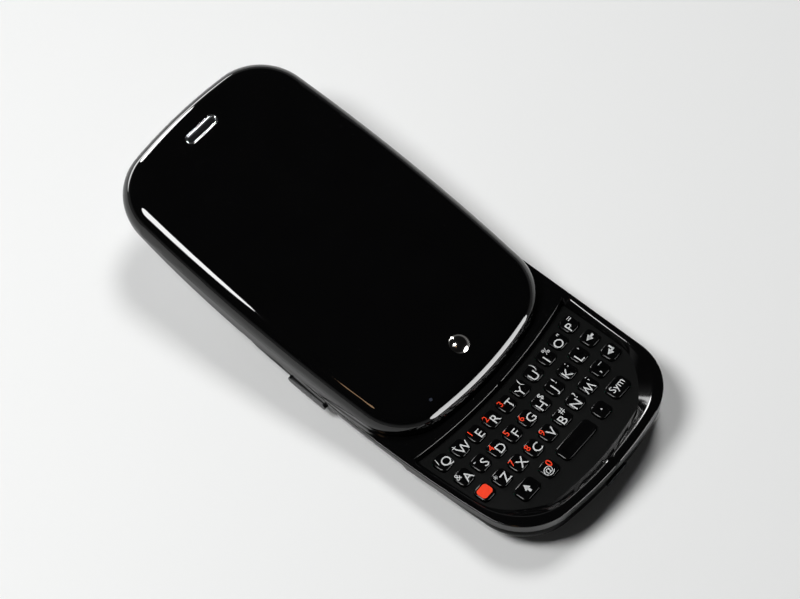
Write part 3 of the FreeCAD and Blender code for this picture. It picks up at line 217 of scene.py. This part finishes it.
# %% Finishes of the CAD nodes
finishes = {
    "gloss_front": finish("gloss_front", (0.0014, 0.0014, 0.0015), 0.02, smudge=0.02, dust=0.08),
    "gloss_shell": finish("gloss_shell", (0.002, 0.002, 0.0021), 0.05, specular=0.3),
    "gloss_deck": finish("gloss_deck", (0.0015, 0.0015, 0.0016), 0.06, smudge=0.04, specular=0.45),
    "gloss_side": finish("gloss_side", (0.002, 0.002, 0.0021), 0.08, specular=0.2, ior=1.09),
    "back_gloss": finish("back_gloss", (0.003, 0.003, 0.0033), 0.10, smudge=0.08, specular=0.3, ior=1.09),
    "gloss_rocker": finish("gloss_rocker", (0.005, 0.005, 0.0055), 0.15, grain=0.01, specular=0.3),
    "gloss_button": finish("gloss_button", (0.005, 0.005, 0.0055), 0.15, grain=0.01),
    "gloss_release": finish("gloss_release", (0.005, 0.005, 0.0055), 0.15, grain=0.01, specular=0.3),
    "gloss_door": finish("gloss_door", (0.004, 0.004, 0.0045), 0.12, grain=0.01),
    "key_gloss": finish("key_gloss", (0.0016, 0.0016, 0.0017), 0.13, smudge=0.05, specular=0.24),
    "matt_web": finish(
        "matt_web", (0.0026, 0.0028, 0.0027), 0.42, grain=0.03, grain_scale=9000.0, specular=0.14
    ),
    "bright_trim": finish("bright_trim", (0.78, 0.79, 0.81), 0.14, metallic=1.0),
    "dark_chrome": finish("dark_chrome", (0.42, 0.41, 0.39), 0.10, smudge=0.04, metallic=1.0),
    "mirror_black": finish("mirror_black", (0.30, 0.30, 0.32), 0.04, metallic=1.0),
    "slide_steel": finish("slide_steel", (0.10, 0.10, 0.105), 0.35, metallic=1.0, grain=0.02),
    "rail_steel": finish("rail_steel", (0.42, 0.42, 0.43), 0.3, metallic=1.0, grain=0.02),
    "spring_steel": finish("spring_steel", (0.55, 0.55, 0.55), 0.25, metallic=1.0),
    "screw_steel": finish("screw_steel", (0.30, 0.30, 0.31), 0.35, metallic=1.0, grain=0.02),
    "display_glass": finish("display_glass", (0.010, 0.010, 0.013), 0.05),
    "flex_film": finish("flex_film", (0.45, 0.20, 0.04), 0.35),
    "board_green": finish("board_green", (0.02, 0.12, 0.07), 0.45, grain=0.03),
    "board_parts": finish("board_parts", (0.05, 0.14, 0.09), 0.45, grain=0.03),
    "battery_wrap": finish("battery_wrap", (0.10, 0.10, 0.11), 0.4, grain=0.02),
    "socket_plastic": finish("socket_plastic", (0.03, 0.03, 0.03), 0.45, grain=0.02),
    "satin_switch": finish("satin_switch", (0.45, 0.46, 0.48), 0.3, metallic=1.0, grain=0.01),
    "window_glass": finish("window_glass", (0.02, 0.02, 0.023), 0.05),
}
slot_of = {part["node"]: part["material_slot"] for part in frame["record"]["subparts"]}
for name, node in nodes.items():
    for slot in node.material_slots:
        slot.material = finishes[slot_of[name]]
print(len(finishes), "finishes on", len(nodes), "nodes")

# %% Finishes of the print and the earpiece's mesh
legend_light = finish("legend_light", (0.56, 0.57, 0.57), 0.35, shade=0.08, smudge_scale=900.0)
legend_orange = finish("legend_orange", (0.88, 0.045, 0.008), 0.35, shade=0.08, smudge_scale=900.0)
earpiece_mesh = finish(
    "earpiece_mesh", (0.05, 0.052, 0.055), 0.35, metallic=1.0, grain=0.06, grain_scale=4500.0
)
sensor_glass = finish("sensor_glass", (0.03, 0.035, 0.05), 0.1, smudge_scale=2000.0)
print("4 more finishes")

# %% [markdown]
# ## Table
# A large pale sheet. It keeps the phone's soft shadow, and its own colour makes the background.

# %% Table
TABLE_REACH = 4.0
table_mesh = bmesh.new()
bmesh.ops.create_grid(table_mesh, x_segments=1, y_segments=1, size=TABLE_REACH)
table_data = bpy.data.meshes.new("table")
table_mesh.to_mesh(table_data)
table_mesh.free()
table = bpy.data.objects.new("table", table_data)
table_white = finish(
    "table_white", (0.86, 0.865, 0.86), 0.55, shade=0.02, smudge=0.05, smudge_scale=3.0, specular=0.0
)
table_data.materials.append(table_white)
bpy.context.scene.collection.objects.link(table)
print("table", len(table_data.polygons), "face")

# %% [markdown]
# ## How a piece is finished
# Each new piece starts as a bmesh in its own easy position. Its place is then worked into its
# mesh, its faces are shaded smooth except across sharp edges, it is parented to an empty named
# after the CAD body it rides on, and the CAD node it stands for is hidden.

# %% Piece helper
def piece(name, shape, body, slot, place=None, instead_of=(), materials=None, sharp=35.0):
    """Turn a bmesh into a piece of the phone."""
    if place is not None:
        bmesh.ops.transform(shape, matrix=place, verts=shape.verts)
    for face in shape.faces:
        face.smooth = True
    for edge in shape.edges:
        edge.smooth = not edge.is_manifold or edge.calc_face_angle(0.0) < math.radians(sharp)
    data = bpy.data.meshes.new(name)
    shape.to_mesh(data)
    shape.free()
    for material in materials or [finishes[slot]]:
        data.materials.append(material)
    made = bpy.data.objects.new(name, data)
    bpy.context.scene.collection.objects.link(made)
    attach(made, body)
    if instead_of:
        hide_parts(*instead_of)
    return made


# %% Rounded plate helper
def rounded_plate(shape, width, height, corner, segments=6):
    """A flat plate with round corners: a square, scaled, with its corners bevelled."""
    grid = bmesh.ops.create_grid(shape, x_segments=1, y_segments=1, size=0.5)
    bmesh.ops.scale(shape, vec=(width, height, 1.0), verts=grid["verts"])
    bmesh.ops.bevel(
        shape, geom=grid["verts"], offset=corner, affect="VERTICES", segments=segments,
        profile=0.5, material=-1,
    )
    shape.faces.ensure_lookup_table()
    return shape.faces[-1]


def raise_face(shape, face, height):
    """Extrude a face straight up and return it; the mesh keeps its old outline below."""
    grown = bmesh.ops.extrude_face_region(shape, geom=[face])
    verts = [item for item in grown["geom"] if isinstance(item, bmesh.types.BMVert)]
    bmesh.ops.translate(shape, vec=(0.0, 0.0, height), verts=verts)
    return [item for item in grown["geom"] if isinstance(item, bmesh.types.BMFace)][0]


# %% [markdown]
# ## Keys
# A key is a small moulded cap with a softly crowned top, so that each one catches the light on its
# edges. The cap is a rounded plate, extruded, with its top edge bevelled and its top face inset
# three times, a little higher each time. One short helper makes all 35, because they differ only
# in width and place. They stand in the keypad's own frame, which is tilted with the curved base.

# %% The keypad's frame and the key's sizes
KEYPAD_MIDDLE = 29.5 * MM
KEYPAD_LEVEL = 9.68 * MM
KEYPAD_TILT = math.radians(6.515)
KEYPAD = Matrix.Translation((0.0, -KEYPAD_MIDDLE, KEYPAD_LEVEL)) @ Matrix.Rotation(-KEYPAD_TILT, 4, "X")
KEY_PITCH = 5.2 * MM
ROW_PITCH = 6.25 * MM
FIRST_ROW = 9.95 * MM
ROW_SMILE = 147.0 * MM
KEY_WIDTH = 4.25 * MM
KEY_HEIGHT = 4.35 * MM
KEY_CORNER = 1.35 * MM
KEY_EDGE = 0.42 * MM
WEB_LEVEL = -1.6 * MM
KEY_SKIRT = 0.45 * MM
KEY_RISE = 0.56 * MM
CROWN_STEPS = ((0.25, 0.03), (0.4, 0.03), (0.5, 0.02))

LETTER_ROWS = (
    ("q", "w", "e", "r", "t", "y", "u", "i", "o", "p"),
    ("a", "s", "d", "f", "g", "h", "j", "k", "l", "backspace"),
    ("option", "z", "x", "c", "v", "b", "n", "m", "comma", "enter"),
)
BOTTOM_ROW = (
    ("shift", -16.8, 6.0), ("zero", -9.7, 4.25), ("space", 0.0, 11.6), ("period", 9.7, 4.25),
    ("sym", 16.8, 6.0),
)
keys = []
for row, names in enumerate(LETTER_ROWS):
    for column, name in enumerate(names):
        keys.append((name, (column - 4.5) * KEY_PITCH, row, KEY_WIDTH, column))
keys += [(name, across * MM, 3, width * MM, None) for name, across, width in BOTTOM_ROW]
print(len(keys), "keys")


# %% One key cap
def key_cap(width):
    """A crowned key cap, standing on z = 0."""
    cap = bmesh.new()
    top = raise_face(cap, rounded_plate(cap, width, KEY_HEIGHT, KEY_CORNER, 5), KEY_SKIRT + KEY_RISE)
    bmesh.ops.bevel(
        cap, geom=list(top.edges), offset=KEY_EDGE, affect="EDGES", segments=4, profile=0.5, material=-1,
    )
    for thickness, depth in CROWN_STEPS:
        top = max(cap.faces, key=lambda face: face.calc_center_median().z)
        bmesh.ops.inset_region(
            cap, faces=[top], thickness=thickness * MM, depth=depth * MM, use_even_offset=True,
        )
    bmesh.ops.holes_fill(cap, edges=[edge for edge in cap.edges if edge.is_boundary], sides=0)
    bmesh.ops.recalc_face_normals(cap, faces=cap.faces)
    return cap


def key_place(across, row):
    """Where a key stands: on a row that curves like a smile, with its skirt below the web."""
    up = FIRST_ROW - row * ROW_PITCH + across ** 2 / (2 * ROW_SMILE)
    return KEYPAD @ Matrix.Translation((across, up, WEB_LEVEL - KEY_SKIRT))


key_surfaces = {}
for name, across, row, width, column in keys:
    cap = key_cap(width)
    key_surfaces[name] = BVHTree.FromBMesh(cap)
    piece(
        "cap_" + name, cap, "key_" + name + "_body", "key_gloss", place=key_place(across, row),
        instead_of=["key_" + name],
    )
print(len(key_surfaces), "caps")

# %% [markdown]
# ## The glossy deck and its keypad recess
# The deck is the part that frames the keypad. Its look comes from two thin rounded edges, the
# outer one and the crest where the broad bevel of the chin begins, because those catch the lamps.
# The CAD deck has hard edges, so this one is made again: its outlines are traced by spinning one
# point round each arc in turn, mirrored, let out by extruding, filled, and laid on the curved
# cradle. Last, the two edges are bevelled. The recess's wall leans out by a different reach on each
# side: little at the top, more at the sides, most at the chin and its two corners.

# %% Tracing an outline
ARC_CENTRE = 268.0 * MM
ARC_RADIUS = 260.0 * MM
HALF_WIDTH = 29.75 * MM
HALF_LENGTH = 50.25 * MM
SIDE_BOW = 550.0 * MM
TOP_BOW = 135.0 * MM
BOTTOM_BOW = 97.0 * MM
OUTER_CORNER = 15.0 * MM
FOOT_CORNER = 14.0 * MM
FOOT_SIDE = 547.35 * MM
FOOT_CHIN = 92.45 * MM
FOOT_SMILE = 140.0 * MM
FOOT_LOW = -16.2 * MM
FOOT_HIGH = 14.0 * MM
POINT_SPACING = 0.9 * MM
MERGE = 0.001 * MM


def deck_level(y):
    """Height of the curved top of the base."""
    return ARC_CENTRE - math.sqrt(ARC_RADIUS ** 2 - y ** 2)


def circles_meet(first, first_radius, second, second_radius, upper):
    """Where two circles meet on the right, at the upper or the lower point."""
    apart = second - first
    along = (first_radius ** 2 - second_radius ** 2 + apart.length_squared) / (2 * apart.length)
    rise = math.sqrt(first_radius ** 2 - along ** 2)
    line = apart.normalized()
    square = Vector((-line.y, line.x, 0.0))
    points = [first + along * line + way * rise * square for way in (-1, 1)]
    return max(points, key=lambda point: point.y if upper else -point.y)


def trace(shape, start, arcs):
    """Spin a point round each centre to each next point, then mirror the half outline."""
    point = shape.verts.new(start)
    for centre, goal in arcs:
        turn = (point.co - centre).xy.angle_signed((goal - centre).xy)
        steps = max(6, round(abs(turn) * (point.co - centre).length / POINT_SPACING))
        spun = bmesh.ops.spin(
            shape, geom=[point], cent=centre, axis=(0, 0, 1), angle=-turn, steps=min(steps, 40),
        )
        point = [item for item in spun["geom_last"] if isinstance(item, bmesh.types.BMVert)][0]
    half = [item for item in shape.verts[:] + shape.edges[:] if not item.tag]
    bmesh.ops.mirror(shape, geom=half, axis="X", merge_dist=MERGE)
    bmesh.ops.remove_doubles(shape, verts=[v for v in shape.verts if not v.tag], dist=MERGE)
    loop = [vert for vert in shape.verts if not vert.tag]
    for item in shape.verts[:] + shape.edges[:]:
        item.tag = True
    return loop


def pebble_arcs(inset):
    """The phone's outline: bowed bottom end, round corner, bowed side, round corner, bowed top."""
    side = Vector((HALF_WIDTH - SIDE_BOW, 0.0, 0.0))
    top = Vector((0.0, HALF_LENGTH - TOP_BOW, 0.0))
    bottom = Vector((0.0, BOTTOM_BOW - HALF_LENGTH, 0.0))
    low = circles_meet(side, SIDE_BOW - OUTER_CORNER, bottom, BOTTOM_BOW - OUTER_CORNER, False)
    high = circles_meet(side, SIDE_BOW - OUTER_CORNER, top, TOP_BOW - OUTER_CORNER, True)
    round_corner = OUTER_CORNER - inset

    def beyond(corner, centre):
        return corner + (corner - centre).normalized() * round_corner

    start = Vector((0.0, inset - HALF_LENGTH, 0.0))
    return start, [
        (bottom, beyond(low, bottom)), (low, beyond(low, side)), (side, beyond(high, side)),
        (high, beyond(high, top)), (top, Vector((0.0, HALF_LENGTH - inset, 0.0))),
    ]


def keypad_arcs():
    """The keypad's outline in its own frame: bowed chin, round corner, bowed side, smiling top."""
    side = Vector((HALF_WIDTH - SIDE_BOW, KEYPAD_MIDDLE, 0.0))
    chin = Vector((0.0, FOOT_LOW + FOOT_CHIN, 0.0))
    smile = Vector((0.0, FOOT_HIGH + FOOT_SMILE, 0.0))
    corner = circles_meet(side, FOOT_SIDE - FOOT_CORNER, chin, FOOT_CHIN - FOOT_CORNER, False)
    on_chin = corner + (corner - chin).normalized() * FOOT_CORNER
    on_side = corner + (corner - side).normalized() * FOOT_CORNER
    meet = circles_meet(side, FOOT_SIDE, smile, FOOT_SMILE, False)
    return Vector((0.0, FOOT_LOW, 0.0)), [
        (chin, on_chin), (corner, on_side), (side, meet), (smile, Vector((0.0, FOOT_HIGH, 0.0))),
    ]


def outward(loop, middle):
    """Which way is out at each point of a loop."""
    ways = {}
    for vert in loop:
        ends = [edge.other_vert(vert).co for edge in vert.link_edges if edge.other_vert(vert) in loop]
        line = (ends[1] - ends[0]).normalized()
        way = Vector((line.y, -line.x, 0.0))
        ways[vert] = way if way.dot(vert.co - middle) > 0 else -way
    return ways


def grow(shape, loop):
    """Extrude a loop of edges where it stands; gives the old points their new partners."""
    inside = set(loop)
    edges = [e for e in shape.edges if e.verts[0] in inside and e.verts[1] in inside]
    grown = bmesh.ops.extrude_edge_only(shape, edges=edges)["geom"]
    fresh = [item for item in grown if isinstance(item, bmesh.types.BMVert)]
    partner = {}
    for vert in fresh:
        for edge in vert.link_edges:
            if edge.other_vert(vert) in inside:
                partner[edge.other_vert(vert)] = vert
    for item in shape.verts[:] + shape.edges[:]:
        item.tag = True
    return partner


# %% The deck's recess
SIDE_REACH = 1.4
CHIN_REACH = 2.9
TOP_REACH = 0.15
CORNER_REACH = 1.9
CORNER_INSET = 1.2 * MM
REACH_DEPTH = 2.39 * MM
SHELF_WIDTH = 0.9 * MM
deck = bmesh.new()
foot = trace(deck, *keypad_arcs())
middle = Vector((0.0, 0.0, 0.0))
out = outward(foot, middle)
way_out = {}
crest = grow(deck, foot)
for vert, top in crest.items():
    way = out[vert]
    corner = (2 * abs(way.x * way.y)) ** 1.5 if way.y < 0 else 0.0
    vert.co -= way * CORNER_INSET * corner
    end_reach = CHIN_REACH if way.y < 0 else TOP_REACH
    reach = SIDE_REACH * way.x ** 2 + end_reach * way.y ** 2 + CORNER_REACH * corner
    share = (vert.co.y ** 2 / (2 * ARC_RADIUS) - WEB_LEVEL) / REACH_DEPTH
    top.co = vert.co + way * reach * share * MM
    top.co.z = top.co.y ** 2 / (2 * ARC_RADIUS)
    way_out[top] = way
    vert.co.z = WEB_LEVEL
crest_loop = list(crest.values())
shelf = grow(deck, crest_loop)
for vert, edge_point in shelf.items():
    edge_point.co = vert.co + way_out[vert] * SHELF_WIDTH
bmesh.ops.transform(deck, matrix=KEYPAD, verts=deck.verts)
shelf_loop = list(shelf.values())
print("recess", len(crest_loop), "points round")

# %% The deck's rim and wall
RIM_INSET = 0.4 * MM
WALL_DEPTH = 1.6 * MM
CHIN_START = -12.0 * MM
CHIN_FOOT = 7.2 * MM
CHIN_SLOPE = 0.1142
brim = trace(deck, *pebble_arcs(RIM_INSET))
out = outward(brim, middle)
rim_points = grow(deck, brim)
for vert, edge_point in rim_points.items():
    edge_point.co = vert.co + out[vert] * RIM_INSET
rim_loop = list(rim_points.values())
wall = grow(deck, rim_loop)
for vert in brim + rim_loop + shelf_loop:
    vert.co.z = deck_level(vert.co.y)
for vert, low in wall.items():
    low.co.z = deck_level(low.co.y) - WALL_DEPTH
    if low.co.y < CHIN_START:
        low.co.z = CHIN_FOOT - CHIN_SLOPE * (low.co.y + KEYPAD_MIDDLE)
print("rim", len(rim_loop), "points round")

# %% The deck's top
STRIP = 3.0 * MM
between = (set(shelf_loop), set(brim))
open_edges = [edge for edge in deck.edges if any(set(edge.verts) <= loop for loop in between)]
filled = bmesh.ops.triangle_fill(deck, edges=open_edges, use_beauty=True)
top_faces = [item for item in filled["geom"] if isinstance(item, bmesh.types.BMFace)]
for face in deck.faces:
    face.material_index = 0
for face in top_faces:
    face.material_index = 1
for step in range(-16, 17):
    here = [face for face in deck.faces if face.material_index == 1]
    around = list({v for f in here for v in f.verts}) + list({e for f in here for e in f.edges})
    bmesh.ops.bisect_plane(
        deck, geom=here + around, dist=MERGE / 2, plane_co=(0, step * STRIP, 0), plane_no=(0, 1, 0),
    )
for face in deck.faces:
    if face.material_index == 1:
        for vert in face.verts:
            vert.co.z = deck_level(vert.co.y)
        face.material_index = 0
print("top laid on the arc")

# %% The deck's rounded edges
top_edge = {vert for vert in crest_loop if way_out[vert].y > 0.5}
broad_edge = {vert for vert in crest_loop if vert not in top_edge or abs(way_out[vert].x) > 0.5}
edge_groups = [(top_edge, 0.25), (broad_edge, 0.5), (set(rim_loop), 0.3)]
rounded = [
    ([edge for edge in deck.edges if edge.verts[0] in group and edge.verts[1] in group], size)
    for group, size in edge_groups
]
for edges, size in rounded:
    bmesh.ops.bevel(
        deck, geom=[edge for edge in edges if edge.is_valid], offset=size * MM, affect="EDGES",
        segments=6, profile=0.5, material=-1,
    )
bmesh.ops.recalc_face_normals(deck, faces=deck.faces)
if max(deck.faces, key=lambda face: face.calc_area()).normal.z < 0:
    bmesh.ops.reverse_faces(deck, faces=deck.faces)
print("deck", len(deck.faces), "faces")
piece("deck", deck, "base", "gloss_deck", instead_of=["keyboard_bezel"])

# %% [markdown]
# ## Legends
# The print on a key is a thin layer of ink. A real letter has many curves, so Blender's own text
# makes it: the text becomes a flat mesh at the height of the cap's crown, and the mesh rides with
# its key. The main letter stands low on the key, towards the middle of the keypad, and the small
# sign stands at the upper outer corner. The digits are orange. The font's own M fills in once it
# is thickened to the letters' weight, so the M is a narrowed W turned over.

# %% What stands on each key
SIGNS = {
    "q": "Q/", "w": "W+", "e": "E1", "r": "R2", "t": "T3", "y": "Y(", "u": "U)", "i": "I%", "o": "O\"",
    "p": "P=", "a": "A&", "s": "S-", "d": "D4", "f": "F5", "g": "G6", "h": "H$", "j": "J!", "k": "K:",
    "l": "L'", "z": "Z*", "x": "X7", "c": "C8", "v": "V9", "b": "B#", "n": "N?", "m": "M;",
}
INK_LIFT = 0.01 * MM
LETTER_SIZE = 2.3 * MM
SIGN_SIZE = 1.65 * MM
SMALL_SIZE = 1.8 * MM
LETTER_WEIGHT = 0.003
M_WIDTH = 0.85


def flat_text(text, cap_height, bold=0.0):
    """Text as a flat bmesh, centred on the origin by its own outline."""
    words = bpy.data.curves.new("words", "FONT")
    words.body = text
    words.offset = bold
    words.resolution_u = 3
    holder = bpy.data.objects.new("words", words)
    bpy.context.scene.collection.objects.link(holder)
    bpy.context.view_layer.update()
    flat = bpy.data.meshes.new_from_object(holder.evaluated_get(bpy.context.evaluated_depsgraph_get()))
    bpy.data.objects.remove(holder)
    bpy.data.curves.remove(words)
    shape = bmesh.new()
    shape.from_mesh(flat)
    bpy.data.meshes.remove(flat)
    xs = [vert.co.x for vert in shape.verts]
    ys = [vert.co.y for vert in shape.verts]
    middle = Vector(((min(xs) + max(xs)) / 2, (min(ys) + max(ys)) / 2, 0.0))
    bmesh.ops.translate(shape, vec=-middle, verts=shape.verts)
    bmesh.ops.scale(shape, vec=[cap_height / TEXT_CAP] * 3, verts=shape.verts)
    return shape


TEXT_CAP = 1.0
probe = flat_text("H", 1.0)
TEXT_CAP = max(vert.co.y for vert in probe.verts) * 2
probe.free()
print("capital height of the text at size 1:", round(TEXT_CAP, 3))


# %% Small drawings: arrows and the orange patch
def arrow(turn, length=2.4 * MM, head=0.992 * MM, shaft=0.6 * MM):
    """A block arrow that points up, then turned: a three-sided disc on a narrow plate."""
    shape = bmesh.new()
    tip = bmesh.ops.create_circle(shape, cap_ends=True, segments=3, radius=head)
    bmesh.ops.translate(shape, vec=(0.0, length / 2 - head, 0.0), verts=tip["verts"])
    bar = bmesh.ops.create_grid(shape, x_segments=1, y_segments=1, size=0.5)
    bmesh.ops.scale(shape, vec=(shaft, length * 0.7, 1.0), verts=bar["verts"])
    bmesh.ops.translate(shape, vec=(0.0, -length * 0.15, 0.0), verts=bar["verts"])
    bmesh.ops.rotate(
        shape, cent=(0.0, 0.0, 0.0), matrix=Matrix.Rotation(math.radians(turn), 3, "Z"), verts=shape.verts,
    )
    return shape


def bent_arrow():
    """The arrow of the enter key: it points left, and its tail goes up at its right end."""
    shape = arrow(90.0, length=2.3 * MM, head=0.93 * MM, shaft=0.45 * MM)
    tail = bmesh.ops.create_grid(shape, x_segments=1, y_segments=1, size=0.5)
    bmesh.ops.scale(shape, vec=(0.45 * MM, 1.6 * MM, 1.0), verts=tail["verts"])
    bmesh.ops.translate(shape, vec=(0.85 * MM, 0.55 * MM, 0.0), verts=tail["verts"])
    return shape


def patch():
    """The orange patch of the option key."""
    shape = bmesh.new()
    rounded_plate(shape, 3.3 * MM, 2.9 * MM, 0.8 * MM)
    return shape


# %% Lay the ink on the keys
def lay_ink(key, marks):
    """Set flat marks on a cap's crown: each is a bmesh, its place on the key and which ink it has."""
    ink = bmesh.new()
    for shape, across, up, which in marks:
        bmesh.ops.translate(shape, vec=(across * MM, up * MM, 0.0), verts=shape.verts)
        for face in shape.faces:
            face.material_index = which
        flat = bpy.data.meshes.new("mark")
        shape.to_mesh(flat)
        shape.free()
        ink.from_mesh(flat)
        bpy.data.meshes.remove(flat)
    crown = key_surfaces[key].ray_cast(Vector((0.0, 0.0, 5 * MM)), Vector((0, 0, -1)))[0].z
    bmesh.ops.translate(ink, vec=(0.0, 0.0, crown + INK_LIFT), verts=ink.verts)
    for face in ink.faces:
        if face.normal.z < 0:
            face.normal_flip()
    return ink


LIGHT, ORANGE = 0, 1
marks_on = {}
for name, across, row, width, column in keys:
    if name in SIGNS:
        letter, sign = SIGNS[name]
        left = column < 5
        mark = flat_text("W" if letter == "M" else letter, LETTER_SIZE, LETTER_WEIGHT)
        if letter == "M":
            bmesh.ops.scale(mark, vec=(-M_WIDTH, -1.0, 1.0), verts=mark.verts)
        marks_on[name] = [
            (mark, 0.6 if left else -0.6, -0.7, LIGHT),
            (
                flat_text(sign, SIGN_SIZE, 0.001), -1.0 if left else 1.05, 0.95,
                ORANGE if sign.isdigit() else LIGHT,
            ),
        ]
marks_on["backspace"] = [(arrow(90.0), 0.0, 0.0, LIGHT)]
marks_on["option"] = [(patch(), 0.0, 0.0, ORANGE)]
marks_on["comma"] = [
    (flat_text(",", 1.9 * MM, 0.006), -0.7, -1.0, LIGHT),
    (flat_text("_", 1.6 * MM, 0.004), 0.9, 0.7, LIGHT),
]
marks_on["enter"] = [(bent_arrow(), 0.0, 0.0, LIGHT)]
marks_on["shift"] = [(arrow(0.0), 0.0, 0.0, LIGHT)]
marks_on["zero"] = [
    (flat_text("@", SMALL_SIZE), -0.65, -0.5, LIGHT),
    (flat_text("0", SMALL_SIZE, LETTER_WEIGHT), 0.9, 0.75, ORANGE),
]
marks_on["period"] = [(flat_text(".", 2.2 * MM, 0.01), 0.0, -0.1, LIGHT)]
marks_on["sym"] = [(flat_text("Sym", SMALL_SIZE, 0.002), 0.0, 0.0, LIGHT)]

for name, across, row, width, column in keys:
    if name in marks_on:
        piece(
            "ink_" + name, lay_ink(name, marks_on[name]), "key_" + name + "_body", "key_gloss",
            place=key_place(across, row), materials=[legend_light, legend_orange],
        )
print(len(marks_on), "keys have ink")

# %% [markdown]
# ## Round button
# The button under the screen is a polished dark dome. It is made as on a lathe: a short profile of
# a few points, spun once round. The display half's own frame places it, because the display half
# has turned open about the axis of its arc.

# %% The display half's placement and the button
SLIDE_TRAVEL = 37.4 * MM
OPEN_TURN = (
    Matrix.Translation((0.0, 0.0, ARC_CENTRE))
    @ Matrix.Rotation(SLIDE_TRAVEL / ARC_RADIUS, 4, "X")
    @ Matrix.Translation((0.0, 0.0, -ARC_CENTRE))
)
FRONT_LEVEL = 16.95 * MM


def on_front(across, up):
    """A place on the display half's flat front, given as if the phone were closed."""
    return OPEN_TURN @ Matrix.Translation((across * MM, up * MM, FRONT_LEVEL))


BUTTON_RADIUS = 2.5 * MM
BUTTON_DEPTH = 1.5 * MM
DOME_HEIGHT = 1.1 * MM
DOME_RADIUS = (BUTTON_RADIUS ** 2 + DOME_HEIGHT ** 2) / (2 * DOME_HEIGHT)
dome = bmesh.new()
skirt = dome.verts.new((BUTTON_RADIUS, 0.0, -BUTTON_DEPTH))
shoulder = dome.verts.new((BUTTON_RADIUS, 0.0, 0.0))
dome.edges.new((skirt, shoulder))
bmesh.ops.spin(
    dome, geom=[shoulder], cent=(0.0, 0.0, DOME_HEIGHT - DOME_RADIUS), axis=(0, 1, 0),
    angle=-math.asin(BUTTON_RADIUS / DOME_RADIUS), steps=12,
)
bmesh.ops.spin(
    dome, geom=dome.verts[:] + dome.edges[:], cent=(0, 0, 0), axis=(0, 0, 1), angle=2 * math.pi,
    steps=72, use_merge=True,
)
bmesh.ops.remove_doubles(dome, verts=dome.verts, dist=MERGE)
bmesh.ops.holes_fill(dome, edges=[edge for edge in dome.edges if edge.is_boundary], sides=0)
bmesh.ops.recalc_face_normals(dome, faces=dome.faces)
piece(
    "button_dome", dome, "centre_button_body", "dark_chrome", place=on_front(0.0, -39.7),
    instead_of=["centre_button"],
)
print("button dome", round(DOME_RADIUS / MM, 2), "mm radius")

# %% [markdown]
# ## Earpiece
# A bright slot near the top end: a polished rim with a rounded edge, sloping inner walls and a
# dark fine mesh at its foot. The rim is a rounded plate, extruded, inset and pushed down in the
# middle, with its edges bevelled.

# %% Earpiece rim and mesh
EARPIECE_UP = 41.9
rim = bmesh.new()
top = raise_face(rim, rounded_plate(rim, 9.94 * MM, 2.84 * MM, 1.4 * MM, 10), 1.45 * MM)
outer_edges = list(top.edges)
bmesh.ops.inset_region(rim, faces=[top], thickness=0.4 * MM, use_even_offset=True)
top = max(rim.faces, key=lambda face: (round(face.calc_center_median().z, 5), face.calc_area()))
inner_edges = list(top.edges)
bmesh.ops.inset_region(rim, faces=[top], thickness=0.22 * MM, depth=-0.75 * MM, use_even_offset=True)
bmesh.ops.bevel(
    rim, geom=[edge for edge in outer_edges + inner_edges if edge.is_valid], offset=0.14 * MM,
    affect="EDGES", segments=4, profile=0.5, material=-1,
)
bmesh.ops.holes_fill(rim, edges=[edge for edge in rim.edges if edge.is_boundary], sides=0)
bmesh.ops.recalc_face_normals(rim, faces=rim.faces)
piece(
    "earpiece_rim", rim, "display_half", "bright_trim",
    place=on_front(0.0, EARPIECE_UP) @ Matrix.Translation((0.0, 0.0, -1.4 * MM)),
    instead_of=["earpiece_grille"],
)
grille = bmesh.new()
raise_face(grille, rounded_plate(grille, 8.6 * MM, 1.5 * MM, 0.7 * MM), 0.08 * MM)
bmesh.ops.holes_fill(grille, edges=[edge for edge in grille.edges if edge.is_boundary], sides=0)
bmesh.ops.recalc_face_normals(grille, faces=grille.faces)
piece(
    "earpiece_cloth", grille, "display_half", "bright_trim", materials=[earpiece_mesh],
    place=on_front(0.0, EARPIECE_UP) @ Matrix.Translation((0.0, 0.0, -0.7 * MM)),
)
print("earpiece rim and mesh")

# %% [markdown]
# ## Light sensor
# Near the lower left of the screen a tiny round lens looks through the front: a shallow disc with
# a bevelled edge, no more than a pin's head across.

# %% Sensor lens
sensor = bmesh.new()
bmesh.ops.create_circle(sensor, cap_ends=True, segments=24, radius=0.42 * MM)
face = raise_face(sensor, sensor.faces[:][0], 0.05 * MM)
bmesh.ops.bevel(
    sensor, geom=list(face.edges), offset=0.03 * MM, affect="EDGES", segments=2, profile=0.5, material=-1,
)
bmesh.ops.recalc_face_normals(sensor, faces=sensor.faces)
piece(
    "sensor_lens", sensor, "display_half", "display_glass", materials=[sensor_glass],
    place=on_front(-15.2, -43.85) @ Matrix.Translation((0.0, 0.0, -0.02 * MM)),
)
print("sensor lens")
